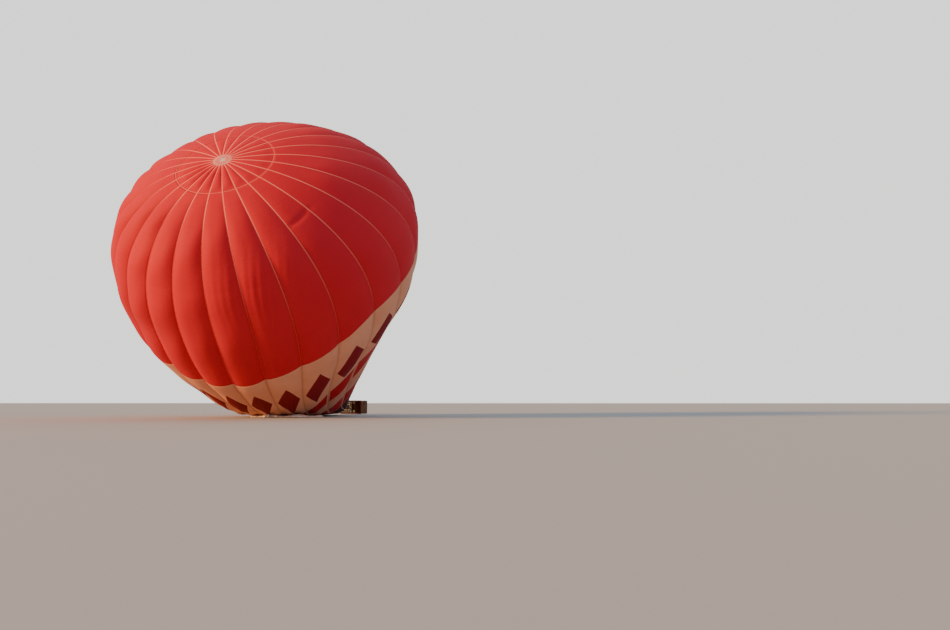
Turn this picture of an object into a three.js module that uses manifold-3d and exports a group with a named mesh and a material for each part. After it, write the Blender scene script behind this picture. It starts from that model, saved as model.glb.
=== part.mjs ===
// Hot air balloon, inflated and half stood up: a red envelope of 24 gores over a cream band,
// a chequered band and a dark mouth, its crown with the vent and parachute valve, and the
// wicker basket with its load frame and burners lying on its side behind the mouth.
// Millimetres, +Z up. The crown leans towards -Y and the basket lies on the +Y side.
// The origin is the envelope's centre of lift, where the air carries the balloon.
import * as THREE from 'three';
import { mergeVertices } from 'three/addons/utils/BufferGeometryUtils.js';
import Module from 'manifold-3d';

const wasm = await Module();
wasm.setup();

const DEG = Math.PI / 180;

// Envelope: profile around its axis
const equatorRadius = 11310;
const crownRise = 10100;
const lowerRise = 10040;
const equatorHeight = 17860;
const mouthRadius = 2130;
const gores = 24;
const fabric = 10;

// Envelope: places along the profile, measured from the crown. The loose fabric pulls the colour
// edges askew: each lies at level + side * cos(angle) + up * sin(angle) round the axis.
const ventEdge = 3300;
const creamEdge = { level: 18250, side: 1220, up: -1800 };
const checkEdge = { level: 25060, side: 1440, up: -2270 };
const skirtShare = 0.62;

// Envelope: stance. The crown points up at axisTilt, and the loose fabric widens and arches
const axisTilt = 37.4 * DEG;
const widthFactor = 1.078;
const heightFactor = 1.1;
const archWhole = 1470;
const archHalf = -1550;
const archThird = -410;
const sideWhole = -210;
const sideHalf = -310;
const mouthCentre = new THREE.Vector3(0, 0, 1350);
const mouthSway = 775;
const swayReach = 12000;
const mouthReach = 5000;
const restSoftness = 400;

// Envelope: how fine the solids are
const goreColumns = 3;
const goreSteps = 10;
const bandSteps = 4;
const profileSteps = 120;
const normalStep = 20;
const seam = 0.4;

// Envelope: how far the load tapes shift round the axis where the fabric is slack, in radians
const slackSide = -0.057;
const slackUp = -0.058;
const slackTwice = 0.043;

// Envelope: how far a gore swells out between its two load tapes
const swellShare = 0.085;
const swellStart = 6500;
const swellLean = 0.35;
const valleyShare = 0.6;

// Crown
const crownRingRadius = 280;
const crownRingTube = 22;
const ringSides = 8;
const tapeWidth = 60;
const tapeStart = 210;
const tapeTaper = 0.15;
const tapeDepth = 1;
const tapeThickness = 8;
const tapeSag = 0.8;
const ventTapeWidth = 110;
const valveRadius = 3650;
const valveGap = 2.2;
const crownRows = 3;
const firstGoreRow = 3720;

// Basket, in its own frame: length along X, width along Y, height along Z
const basketLength = 2600;
const basketWidth = 1350;
const basketHeight = 1150;
const wicker = 30;
const floorThickness = 18;
const runnerHeight = 40;
const runnerWidth = 70;
const runnerInset = 60;
const rimRadius = 42;
const basketYaw = 16 * DEG;
const rimCentre = new THREE.Vector3(2200, 4200, 720);
const partitionThickness = 24;
const partitionDrop = 120;
const pilotBay = 760;

// Fuel cylinders, standing in the pilot's bay
const cylinderRadius = 150;
const cylinderHeight = 860;
const footRadius = 129;
const footHeight = 30;
const footBend = 70;
const shoulderDrop = 130;
const collarRadius = 93;
const collarHeight = 60;
const collarWall = 18;
const collarDepth = 50;
const domeRise = 5;

// Load frame and burners
const frameRise = 950;
const frameLength = 1300;
const frameWidth = 950;
const frameTube = 20;
const lugRadius = 34;
const lugDrop = 60;
const lugRise = 50;
const blockHalf = 26;
const blockHeight = 64;
const uprightRadius = 32;
const footInset = 260;
const yokeLength = 960;
const yokeWidth = 560;
const yokeTube = 15;
const yokeCorner = 36;
const pivotRadius = 11;
const pinGap = 0.4;
const pinRoot = 5;
const burnerSpread = 175;
const valveBlock = { overhang: 60, depth: 110, low: -150, high: -10 };
const armRadius = 16;
const armRoot = 40;
const armEnd = 200;
const handleRadius = 12;
const handleReach = 170;
const coilRadius = 145;
const coilHeight = 300;
const coilTurns = 6;
const coilStart = 40;
const coilGroove = 12;
const canWall = 30;
const nozzleRadius = 85;
const nozzleDepth = 50;

// Flying wires
const wireThickness = 7;
const wiresPerCorner = 6;
const hemGap = 1.1;
const karabinerLength = 110;
const karabinerRadius = 9;
const wireSpacing = 16;
const wireSides = 5;
const hemStep = 500;

// Centre of lift, the origin of the part
const liftCentre = new THREE.Vector3(0, -12200, 12700);

// Colours and surfaces
const finishes = {
  red: { color: 0xc62a22, roughness: 0.62, metalness: 0 },
  cream: { color: 0xd9bfa0, roughness: 0.66, metalness: 0 },
  check: { color: 0xa3262a, roughness: 0.66, metalness: 0 },
  mouth: { color: 0x2a1518, roughness: 0.8, metalness: 0 },
  tape: { color: 0xe0a08c, roughness: 0.7, metalness: 0 },
  steel: { color: 0xb9bcbf, roughness: 0.35, metalness: 1 },
  aluminium: { color: 0xc9ccce, roughness: 0.4, metalness: 1 },
  wicker: { color: 0x8a5a30, roughness: 0.8, metalness: 0 },
  leather: { color: 0x4a1418, roughness: 0.6, metalness: 0 },
  wood: { color: 0xa98255, roughness: 0.7, metalness: 0 },
};

const model = new THREE.Group();
const craft = new THREE.Group();
craft.position.copy(liftCentre).negate();
model.add(craft);

// Solids

function signedVolume(geometry) {
  const place = geometry.attributes.position;
  const a = new THREE.Vector3();
  const b = new THREE.Vector3();
  const c = new THREE.Vector3();
  let sum = 0;
  for (let i = 0; i < geometry.index.count; i += 3) {
    a.fromBufferAttribute(place, geometry.index.getX(i));
    b.fromBufferAttribute(place, geometry.index.getX(i + 1));
    c.fromBufferAttribute(place, geometry.index.getX(i + 2));
    sum += a.dot(b.cross(c));
  }
  return sum / 6;
}

// One closed skin with its faces pointing out
function closed(geometry) {
  geometry.deleteAttribute('normal');
  geometry.deleteAttribute('uv');
  const merged = mergeVertices(geometry, 1e-3);
  const kept = [];
  for (let i = 0; i < merged.index.count; i += 3) {
    const [p, q, r] = [merged.index.getX(i), merged.index.getX(i + 1), merged.index.getX(i + 2)];
    if (p !== q && q !== r && r !== p) kept.push(p, q, r);
  }
  merged.setIndex(kept);
  if (signedVolume(merged) < 0) {
    merged.setIndex(kept.reverse());
  }
  return merged;
}

function toManifold(geometry) {
  const place = closed(geometry);
  const mesh = new wasm.Mesh({
    numProp: 3,
    vertProperties: new Float32Array(place.attributes.position.array),
    triVerts: new Uint32Array(place.index.array),
  });
  return new wasm.Manifold(mesh);
}

function fromManifold(solid) {
  const mesh = solid.getMesh();
  const geometry = new THREE.BufferGeometry();
  geometry.setAttribute('position', new THREE.BufferAttribute(new Float32Array(mesh.vertProperties), 3));
  geometry.setIndex(Array.from(mesh.triVerts));
  return geometry;
}

function join(...pieces) {
  return fromManifold(pieces.map(toManifold).reduce((whole, next) => whole.add(next)));
}

function addNode(parent, name, geometry, finish) {
  const mesh = new THREE.Mesh(geometry, new THREE.MeshStandardMaterial(finish));
  mesh.name = name;
  geometry.computeVertexNormals();
  parent.add(mesh);
}

function box(x0, x1, y0, y1, z0, z1) {
  const geometry = new THREE.BoxGeometry(x1 - x0, y1 - y0, z1 - z0);
  return geometry.translate((x0 + x1) / 2, (y0 + y1) / 2, (z0 + z1) / 2);
}

// A round or square bar between two points
function bar(from, to, radius, sides) {
  const run = to.clone().sub(from);
  const geometry = new THREE.CylinderGeometry(radius, radius, run.length(), sides);
  const turn = new THREE.Quaternion().setFromUnitVectors(new THREE.Vector3(0, 1, 0), run.clone().normalize());
  geometry.applyQuaternion(turn);
  return geometry.translate(...from.clone().add(to).multiplyScalar(0.5).toArray());
}

function point(x, y, z) {
  return new THREE.Vector3(x, y, z);
}

// Envelope surface

// Profile from the crown to the mouth: two quarter ellipses, then a straight cone that meets
// the lower one at its tangent. Each row is [along, radius, height above the mouth].
function profileRows() {
  const a = lowerRise * mouthRadius;
  const b = equatorRadius * equatorHeight;
  const tangent = Math.atan2(b, a) - Math.acos((equatorRadius * lowerRise) / Math.hypot(a, b));
  const outline = [];
  for (let i = 0; i <= profileSteps; i++) {
    const t = (1 - i / profileSteps) * 90 * DEG;
    outline.push([equatorRadius * Math.cos(t), equatorHeight + crownRise * Math.sin(t)]);
  }
  for (let i = 1; i <= profileSteps; i++) {
    const t = (i / profileSteps) * tangent;
    outline.push([equatorRadius * Math.cos(t), equatorHeight - lowerRise * Math.sin(t)]);
  }
  outline.push([mouthRadius, 0]);
  let along = 0;
  return outline.map(([radius, height], i) => {
    if (i > 0) along += Math.hypot(radius - outline[i - 1][0], height - outline[i - 1][1]);
    return [along, radius, height];
  });
}

const profile = profileRows();
const mouthEdge = profile.at(-1)[0];
const axialHeight = profile[0][2];

function profileAt(along) {
  const i = along < mouthEdge ? Math.max(1, profile.findIndex((row) => row[0] >= along)) : profile.length - 1;
  const [s0, r0, h0] = profile[i - 1];
  const [s1, r1, h1] = profile[i];
  const share = (along - s0) / (s1 - s0);
  return { radius: r0 + (r1 - r0) * share, height: h0 + (h1 - h0) * share };
}

// Fabric that would sink below the ground lies on it, with a soft bend where it meets it
function restOnGround(z) {
  return (z + Math.hypot(z, restSoftness)) / 2;
}

// angle runs round the axis: 0 at the -X side, 90 degrees on top, 270 below
function envelopePoint(along, angle, swell) {
  const { radius, height } = profileAt(along);
  const half = (Math.PI * height) / axialHeight;
  const arch = archWhole * Math.sin(half) + archHalf * Math.sin(2 * half) + archThird * Math.sin(3 * half);
  const bend = sideWhole * Math.sin(half) + sideHalf * Math.sin(2 * half);
  const slack = slackSide * Math.cos(angle) + slackUp * Math.sin(angle) + slackTwice * Math.sin(2 * angle);
  const turned = angle + slack * Math.sin(half);
  const side = (radius + swell) * Math.cos(turned) * widthFactor;
  const ring = (radius + swell) * Math.sin(turned) * heightFactor;
  const sway = mouthSway * Math.max(0, 1 - height / swayReach) ** 2;
  const upright = Math.max(0, 1 - height / mouthReach) ** 2;
  const lift = ring + arch;
  return point(
    mouthCentre.x + sway + bend - side,
    mouthCentre.y - height * Math.cos(axisTilt) + (lift - ring * upright) * Math.sin(axisTilt),
    restOnGround(mouthCentre.z + height * Math.sin(axisTilt) + lift * Math.cos(axisTilt)),
  );
}

function swellAt(along, angle) {
  const turn = (angle / (2 * Math.PI)) * gores;
  const across = 2 * (turn - Math.floor(turn)) - 1;
  const goreWidth = (2 * Math.PI * profileAt(along).radius) / gores;
  const rise = Math.min(1, Math.max(0, (along - ventEdge) / (swellStart - ventEdge))) ** 2;
  const lean = 1 + swellLean * Math.cos(angle);
  return swellShare * goreWidth * rise * lean * (1 - across * across - valleyShare);
}

function outwardAt(along, angle) {
  const low = Math.max(along, 2 * normalStep);
  const high = Math.min(low + normalStep, mouthEdge);
  const down = envelopePoint(high, angle, 0).sub(envelopePoint(low - normalStep, angle, 0));
  const turn = normalStep / profileAt(low).radius;
  const round = envelopePoint(low, angle + turn, 0).sub(envelopePoint(low, angle - turn, 0));
  return down.cross(round).normalize().negate();
}

// A point of the fabric: depth is measured inwards from the outer face
function fabricPoint(along, angle, depth, swelling) {
  const swell = swelling ? swellAt(along, angle) : 0;
  const outward = along < 1 ? crownDirection : outwardAt(along, angle);
  return envelopePoint(along, angle, swell).addScaledVector(outward, -depth);
}

const crownDirection = point(0, -Math.cos(axisTilt), Math.sin(axisTilt));

// Where the edges of the bands lie at an angle round the axis
function edgeAt(edge, angle) {
  return edge.level + edge.side * Math.cos(angle) + edge.up * Math.sin(angle);
}

const bandEdges = {
  cream: (angle) => edgeAt(creamEdge, angle),
  check: (angle) => edgeAt(checkEdge, angle),
  skirt: (angle) => edgeAt(checkEdge, angle) + skirtShare * (mouthEdge - edgeAt(checkEdge, angle)),
  mouth: () => mouthEdge,
};

// A twisted sheet keeps its thickness only where both its skins are split along the same
// diagonals, so the inner skin's four-sided faces are split the other way from how they come
function splitAlike(geometry, isInner) {
  const index = geometry.index.array;
  for (let i = 0; i < index.length; i += 6) {
    const [a, b, d] = index.slice(i, i + 3);
    const c = index.slice(i + 3, i + 6).find((corner) => corner !== b && corner !== d);
    if ([a, b, c, d].every(isInner)) index.set([a, b, c, a, c, d], i);
  }
}

// One gore of the red part, between two load tapes. Its first row is short, where the valve
// lies under it.
function gore(index) {
  const geometry = new THREE.BoxGeometry(1, 1, 1, goreColumns, 1, goreSteps);
  const place = geometry.attributes.position;
  splitAlike(geometry, (corner) => place.getY(corner) < 0);
  for (let i = 0; i < place.count; i++) {
    const row = Math.round((place.getZ(i) + 0.5) * goreSteps);
    const level = (index + 0.5 + place.getX(i)) * goreAngle;
    const longRow = (bandEdges.cream(level) - firstGoreRow) / (goreSteps - 1);
    const along = row === 0 ? ventEdge + seam : firstGoreRow + (row - 1) * longRow;
    const margin = seam / profileAt(along).radius;
    const angle = level - place.getX(i) * margin;
    const depth = fabric * (0.5 - place.getY(i));
    place.setXYZ(i, ...fabricPoint(along, angle, depth, true).toArray());
  }
  return closed(geometry);
}

// A ring or disc of fabric right round the axis, from a closed outline of [reach, depth].
// alongAt turns a reach and an angle into a place along the profile.
function ringOfFabric(outline, swelling, alongAt) {
  const points = outline.map(([reach, depth]) => new THREE.Vector2(reach, depth));
  const geometry = new THREE.LatheGeometry(points, ringSegments);
  const place = geometry.attributes.position;
  const middle = outline[0][1] + fabric / 2;
  splitAlike(geometry, (corner) => place.getY(corner) > middle);
  for (let i = 0; i < place.count; i++) {
    const reach = Math.hypot(place.getX(i), place.getZ(i));
    const step = Math.round((Math.atan2(place.getX(i), place.getZ(i)) / (2 * Math.PI)) * ringSegments);
    const angle = ((step + ringSegments) % ringSegments) * ((2 * Math.PI) / ringSegments);
    place.setXYZ(i, ...fabricPoint(alongAt(reach, angle), angle, place.getY(i), swelling).toArray());
  }
  return closed(geometry);
}

// Outline of a band: out along the outer face and back along the inner face
function bandOutline(from, to, steps) {
  const outward = [];
  const inward = [];
  for (let i = 0; i <= steps; i++) {
    const reach = from + ((to - from) * i) / steps;
    outward.push([reach, 0]);
    inward.unshift([reach, fabric]);
  }
  return [...outward, ...inward, outward[0]];
}

// A band of fabric between two edges, which its outline calls 1 and 2
function bandOfFabric(top, bottom) {
  return ringOfFabric(bandOutline(1, 2, bandSteps), true, (reach, angle) => {
    const from = top(angle) + seam;
    return from + (bottom(angle) - from) * (reach - 1);
  });
}

// Envelope nodes

const ringSegments = goreColumns * gores;
const goreAngle = (2 * Math.PI) / gores;

for (let i = 0; i < gores; i++) {
  const name = `gore_${String(i + 1).padStart(2, '0')}`;
  addNode(craft, name, gore(i), finishes.red);
}

const bands = [
  // name, top edge, bottom edge, finish
  ['cream_band', bandEdges.cream, bandEdges.check, finishes.cream],
  ['check_band', bandEdges.check, bandEdges.skirt, finishes.check],
  ['mouth_skirt', bandEdges.skirt, bandEdges.mouth, finishes.mouth],
];
for (const [name, top, bottom, finish] of bands) {
  addNode(craft, name, bandOfFabric(top, bottom), finish);
}

// Crown: radial tapes from the crown ring to the vent edge, joined by the vent edge tape
const tapeEnd = ventEdge - ventTapeWidth / 2;

function crownTapes() {
  const ventTape = bandOutline(ventEdge - ventTapeWidth, ventEdge, 1);
  const pieces = [ringOfFabric(ventTape, false, (along) => along)];
  for (let i = 0; i < gores; i++) {
    const geometry = new THREE.BoxGeometry(1, 1, 1, 1, 1, crownRows);
    const place = geometry.attributes.position;
    for (let k = 0; k < place.count; k++) {
      const along = tapeStart + (tapeEnd - tapeStart) * (place.getZ(k) + 0.5);
      const { radius } = profileAt(along);
      const width = Math.min(tapeWidth, tapeTaper * radius);
      const angle = i * goreAngle + (place.getX(k) * width) / radius;
      const depth = tapeDepth + tapeThickness * (0.5 - place.getY(k));
      place.setXYZ(k, ...fabricPoint(along, angle, depth, false).toArray());
    }
    pieces.push(geometry);
  }
  return join(...pieces);
}
addNode(craft, 'crown_tapes', crownTapes(), finishes.tape);

function crownRing() {
  const geometry = new THREE.TorusGeometry(crownRingRadius, crownRingTube, ringSides, gores);
  const drop = profileAt(0).height - profileAt(crownRingRadius).height;
  const place = fabricPoint(0, 0, drop + tapeDepth + tapeSag - seam - crownRingTube, false);
  geometry.applyQuaternion(new THREE.Quaternion().setFromUnitVectors(point(0, 0, 1), crownDirection));
  return closed(geometry.translate(...place.toArray()));
}
addNode(craft, 'crown_ring', crownRing(), finishes.aluminium);

// The valve is a disc of fabric under the crown tapes and the gores' upper ends. Its rows
// follow the tapes' rows, so that it lies evenly below them.
function parachuteValve() {
  const top = fabric + valveGap;
  const rows = [0];
  for (let i = 0; i <= crownRows; i++) {
    rows.push(tapeStart + ((tapeEnd - tapeStart) * i) / crownRows);
  }
  rows.push(valveRadius);
  const outer = rows.map((along) => [along, top]);
  const inner = rows.toReversed().map((along) => [along, top + fabric]);
  return ringOfFabric([...outer, ...inner], false, (along) => along);
}
addNode(craft, 'parachute_valve', parachuteValve(), finishes.red);

// Basket group: it lies on its side, its open top towards the mouth

const basketUp = point(-Math.sin(basketYaw), -Math.cos(basketYaw), 0);
const basketAlong = point(Math.cos(basketYaw), -Math.sin(basketYaw), 0);
const basket = new THREE.Group();
basket.quaternion.setFromRotationMatrix(
  new THREE.Matrix4().makeBasis(basketAlong, point(0, 0, 1), basketUp));
basket.position.copy(rimCentre).addScaledVector(basketUp, -basketHeight);
craft.add(basket);

const halfLength = basketLength / 2;
const halfWidth = basketWidth / 2;

function basketFloor() {
  const pieces = [box(-halfLength, halfLength, -halfWidth, halfWidth, 0, floorThickness)];
  const x = halfLength - runnerInset;
  for (const y of [-halfWidth + runnerWidth, 0, halfWidth - runnerWidth]) {
    pieces.push(box(-x, x, y - runnerWidth / 2, y + runnerWidth / 2, -runnerHeight, floorThickness / 2));
  }
  return join(...pieces);
}
addNode(basket, 'basket_floor', basketFloor(), finishes.wood);

const wallBottom = floorThickness + seam;
const wallTop = basketHeight - rimRadius;
const insideY = halfWidth - wicker - seam;
const walls = [
  // name, x0, x1, y0, y1
  ['basket_wall_low', -halfLength, halfLength, -halfWidth, -halfWidth + wicker],
  ['basket_wall_high', -halfLength, halfLength, halfWidth - wicker, halfWidth],
  ['basket_wall_left', -halfLength, -halfLength + wicker, -insideY, insideY],
  ['basket_wall_right', halfLength - wicker, halfLength, -insideY, insideY],
];
for (const [name, x0, x1, y0, y1] of walls) {
  addNode(basket, name, box(x0, x1, y0, y1, wallBottom, wallTop), finishes.wicker);
}

// The padded rim is a roll that sits on the four walls
function basketRim() {
  const x = halfLength - wicker / 2;
  const y = halfWidth - wicker / 2;
  const low = wallTop + seam;
  const high = low + 2 * rimRadius;
  const r = rimRadius;
  const outer = box(-x - r, x + r, -y - r, y + r, low, high);
  const inner = box(-x + r, x - r, -y + r, y - r, low - r, high + r);
  return fromManifold(toManifold(outer).subtract(toManifold(inner)));
}
addNode(basket, 'basket_rim', basketRim(), finishes.leather);

const partitionTop = wallTop - partitionDrop;
for (const [name, side] of [['partition_left', -1], ['partition_right', 1]]) {
  const x0 = (side * pilotBay - partitionThickness) / 2;
  const shape = box(x0, x0 + partitionThickness, -insideY, insideY, wallBottom, partitionTop);
  addNode(basket, name, shape, finishes.wicker);
}

// A solid turned round Z from an outline of [radius, height]
function turned(outline) {
  const geometry = new THREE.LatheGeometry(outline.map(([r, h]) => new THREE.Vector2(r, h)), 16);
  return geometry.rotateX(90 * DEG);
}

function fuelCylinder() {
  const top = cylinderHeight;
  return turned([
    [0, 0], [footRadius, 0], [footRadius, footHeight], [cylinderRadius, footBend],
    [cylinderRadius, top - shoulderDrop], [collarRadius + collarWall, top - collarHeight],
    [collarRadius, top - collarHeight], [collarRadius, top], [collarRadius - collarWall, top],
    [collarRadius - collarWall, top - collarDepth], [0, top - collarDepth + domeRise],
  ]);
}
const cylinderPlaces = [
  // name, x, y
  ['fuel_cylinder_1', -1, -1],
  ['fuel_cylinder_2', 1, -1],
  ['fuel_cylinder_3', -1, 1],
  ['fuel_cylinder_4', 1, 1],
];
const cylinderX = pilotBay / 2 - partitionThickness / 2 - cylinderRadius - seam;
const cylinderY = halfWidth - wicker - cylinderRadius - seam;
for (const [name, sideX, sideY] of cylinderPlaces) {
  const geometry = closed(fuelCylinder());
  geometry.translate(sideX * cylinderX, sideY * cylinderY, wallBottom);
  addNode(basket, name, geometry, finishes.steel);
}

// Load frame: a tube rectangle with a lug at each corner
const frameZ = basketHeight + frameRise;
const frameX = frameLength / 2;
const frameY = frameWidth / 2;
const corners = [
  // name, x, y
  ['low_left', -1, -1],
  ['low_right', 1, -1],
  ['high_right', 1, 1],
  ['high_left', -1, 1],
];
const lugLow = frameZ - lugDrop;
const lugHigh = frameZ + lugRise;

function blockAround(centre, halfX, half) {
  const { x, y, z } = centre;
  return box(x - halfX, x + halfX, y - half, y + half, z - half, z + half);
}

function loadFrame() {
  const pieces = [];
  corners.forEach(([, x, y], i) => {
    const [, nextX, nextY] = corners[(i + 1) % 4];
    const corner = point(x * frameX, y * frameY, frameZ);
    pieces.push(bar(corner, point(nextX * frameX, nextY * frameY, frameZ), frameTube, 10));
    pieces.push(bar(corner.clone().setZ(lugLow), corner.clone().setZ(lugHigh), lugRadius, 12));
  });
  // bearing blocks for the yoke's pins
  for (const side of [-1, 1]) {
    pieces.push(blockAround(point(side * frameX, 0, frameZ), blockHalf, blockHeight / 2));
  }
  return join(...pieces);
}
addNode(basket, 'load_frame', loadFrame(), finishes.steel);

// Uprights: padded rods from the rim's corners to the frame's lugs
for (const [name, x, y] of corners) {
  const rimTop = wallTop + seam + 2 * rimRadius;
  const foot = point(x * (halfLength - footInset), y * (halfWidth - wicker / 2), rimTop);
  const head = point(x * frameX, y * frameY, lugLow);
  const slant = head.clone().sub(foot).angleTo(point(0, 0, 1));
  const clearance = uprightRadius * Math.sin(slant) + seam;
  foot.z += clearance;
  head.z -= clearance;
  addNode(basket, `upright_${name}`, closed(bar(foot, head, uprightRadius, 10)), finishes.leather);
}

// Yoke: the outer gimbal ring, hung on two pins in the load frame
const yokeX = yokeLength / 2;
const yokeY = yokeWidth / 2;

function burnerYoke() {
  const pieces = [];
  for (const side of [-1, 1]) {
    pieces.push(bar(point(-yokeX, side * yokeY, frameZ), point(yokeX, side * yokeY, frameZ), yokeTube, 8));
    pieces.push(bar(point(side * yokeX, -yokeY, frameZ), point(side * yokeX, yokeY, frameZ), yokeTube, 8));
    const pinEnd = point(side * (frameX - blockHalf - pinGap), 0, frameZ);
    pieces.push(bar(point(side * (yokeX - pinRoot), 0, frameZ), pinEnd, pivotRadius, 10));
    for (const end of [-1, 1]) {
      pieces.push(blockAround(point(side * yokeX, end * yokeY, frameZ), yokeCorner / 2, yokeCorner / 2));
    }
  }
  return join(...pieces);
}
addNode(basket, 'burner_yoke', burnerYoke(), finishes.steel);

// Burners: two coils over a valve block, on two pins in the yoke
function burnerCan(x) {
  const step = coilHeight / coilTurns;
  const base = valveBlock.high - armRoot / 4;
  const outline = [[0, base], [coilRadius - canWall, base]];
  for (let i = 0; i < coilTurns; i++) {
    const low = coilStart + i * step;
    outline.push([coilRadius - coilGroove, low], [coilRadius, low + step / 2]);
  }
  const top = coilStart + coilHeight;
  outline.push([coilRadius - coilGroove, top], [coilRadius - canWall, top]);
  outline.push([nozzleRadius, coilStart + nozzleDepth / 2], [0, nozzleDepth]);
  return turned(outline).translate(x, 0, frameZ);
}

function burnerPair() {
  const { overhang, depth, low, high } = valveBlock;
  const reach = burnerSpread + overhang;
  const pieces = [box(-reach, reach, -depth / 2, depth / 2, frameZ + low, frameZ + high)];
  for (const side of [-1, 1]) {
    pieces.push(burnerCan(side * burnerSpread));
    const armTip = point(0, side * armEnd, frameZ);
    pieces.push(bar(point(0, side * armRoot, frameZ + 2 * high), armTip, armRadius, 8));
    const pinEnd = point(0, side * (yokeY - yokeTube - pinGap), frameZ);
    pieces.push(bar(point(0, side * (armEnd - armRadius), frameZ), pinEnd, pivotRadius, 10));
    const handleFoot = point(side * burnerSpread, 0, frameZ + low - high);
    const handleTip = point(side * burnerSpread, -handleReach, frameZ + low - armRoot);
    pieces.push(bar(handleFoot, handleTip, handleRadius, 8));
  }
  return join(...pieces);
}
addNode(basket, 'burner_pair', burnerPair(), finishes.steel);

// Flying wires: six from each corner of the load frame to the mouth's hem. They hang side by
// side on the karabiner's bar, which points the way in which they fan out.
function flyingWires(x, y, firstTape) {
  const eye = point(x * frameX, y * frameY, lugHigh + seam).applyMatrix4(basket.matrix);
  const hook = eye.clone().addScaledVector(basketUp, karabinerLength);
  const angles = Array.from({ length: wiresPerCorner }, (_, i) => (firstTape + i) * goreAngle);
  const hems = angles.map((angle) => fabricPoint(mouthEdge, angle, fabric / 2, true));
  const fan = hems.at(-1).clone().sub(hems[0]).normalize();
  const halfBar = fan.clone().multiplyScalar((wiresPerCorner / 2) * wireSpacing);
  const pieces = [
    bar(eye, hook, karabinerRadius, 8),
    bar(hook.clone().sub(halfBar), hook.clone().add(halfBar), karabinerRadius, 8),
  ];
  hems.forEach((hem, i) => {
    const start = hook.clone().addScaledVector(fan, (i - (wiresPerCorner - 1) / 2) * wireSpacing);
    const inner = fabricPoint(mouthEdge - hemStep, angles[i], fabric / 2, true);
    const run = hem.clone().sub(start).normalize();
    const slant = run.angleTo(inner.sub(hem));
    const short = ((wireThickness / 2) * Math.sin(slant) + hemGap) / Math.cos(slant);
    pieces.push(bar(start, hem.addScaledVector(run, -short), wireThickness / 2, wireSides));
  });
  return join(...pieces);
}
basket.updateMatrix();
const firstTapes = { high_left: 0, high_right: 6, low_right: 12, low_left: 18 };
for (const [name, x, y] of corners) {
  addNode(craft, `flying_wires_${name}`, flyingWires(x, y, firstTapes[name]), finishes.steel);
}

export default model;
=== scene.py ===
import bmesh
import bpy
import numpy as np
from math import acos, atan2, cos, hypot, pi, radians, sin, sqrt
from mathutils import Matrix, Vector


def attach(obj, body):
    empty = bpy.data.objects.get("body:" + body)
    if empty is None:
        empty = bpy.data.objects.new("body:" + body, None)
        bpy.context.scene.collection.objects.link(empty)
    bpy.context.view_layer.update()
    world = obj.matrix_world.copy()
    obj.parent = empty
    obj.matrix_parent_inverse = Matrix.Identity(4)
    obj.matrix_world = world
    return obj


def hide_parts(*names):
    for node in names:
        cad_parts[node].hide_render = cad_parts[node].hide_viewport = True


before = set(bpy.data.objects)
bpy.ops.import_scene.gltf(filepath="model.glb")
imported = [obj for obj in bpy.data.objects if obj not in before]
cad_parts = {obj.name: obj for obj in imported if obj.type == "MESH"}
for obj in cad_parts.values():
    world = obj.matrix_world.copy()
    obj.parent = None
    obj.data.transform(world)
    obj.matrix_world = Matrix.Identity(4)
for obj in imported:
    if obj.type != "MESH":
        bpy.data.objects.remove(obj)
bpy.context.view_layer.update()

bpy.ops.object.select_all(action="DESELECT")

# The camera stands low in the field and looks slightly up at the crown
view = dict(
    imageWidth=950, focalPixels=731.0, sensor=36.0, farthest=900,  # focal length measured on the image
    place=(23.32, -58.03, -11.46), pitch=6.79, turn=6.26,  # metres and degrees
)
bpy.ops.object.camera_add(location=view["place"])
camera = bpy.context.object
camera.data.sensor_width = view["sensor"]
camera.data.lens = view["focalPixels"] / view["imageWidth"] * view["sensor"]
camera.data.clip_end = view["farthest"]
camera.rotation_euler = (radians(90 + view["pitch"]), 0, radians(view["turn"]))
bpy.context.scene.camera = camera
print("camera set")

# Shape of the envelope, in metres. Places along a gore are measured from the crown, and a turn
# counts gores round the axis from the -X side over the top. The colour edges lie askew: each is
# at level + side * cos + up * sin, and the red one droops between the tapes.
envelope = dict(
    equatorRadius=11.31, crownRise=10.1, lowerRise=10.04, equatorHeight=17.86, mouthRadius=2.13,
    gores=24, ventEdge=3.3,
    creamEdge=(18.25, 1.22, -1.8), checkEdge=(25.06, 1.44, -2.27), skirtShare=0.62, droop=0.24,
    axisTilt=radians(37.4), widthFactor=1.078, heightFactor=1.1,
    arch=(1.47, -1.55, -0.41), bend=(-0.21, -0.31), slack=(-0.057, -0.058, 0.043),
    mouthHeight=1.35, mouthSway=0.775, swayReach=12.0, mouthReach=5.0, restSoftness=0.4,
    swellShare=0.092, swellStart=6.5, swellLean=0.4, valleyShare=0.62, swellRound=2.4,
    crownSwell=0.17, crownSwellStart=1.1, crownSwellEnd=11.0, crownSwellFade=5.0,
    looseMiddle=radians(291), looseReach=(1.7, 0.3), quarterPoints=121,
    liftCentre=(0.0, -12.2, 12.7), clothThickness=0.006, seam=0.0004, rest=0.008,
)
ground = -envelope["liftCentre"][2]


def unit(vectors):
    return vectors / np.linalg.norm(vectors, axis=-1, keepdims=True)


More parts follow.
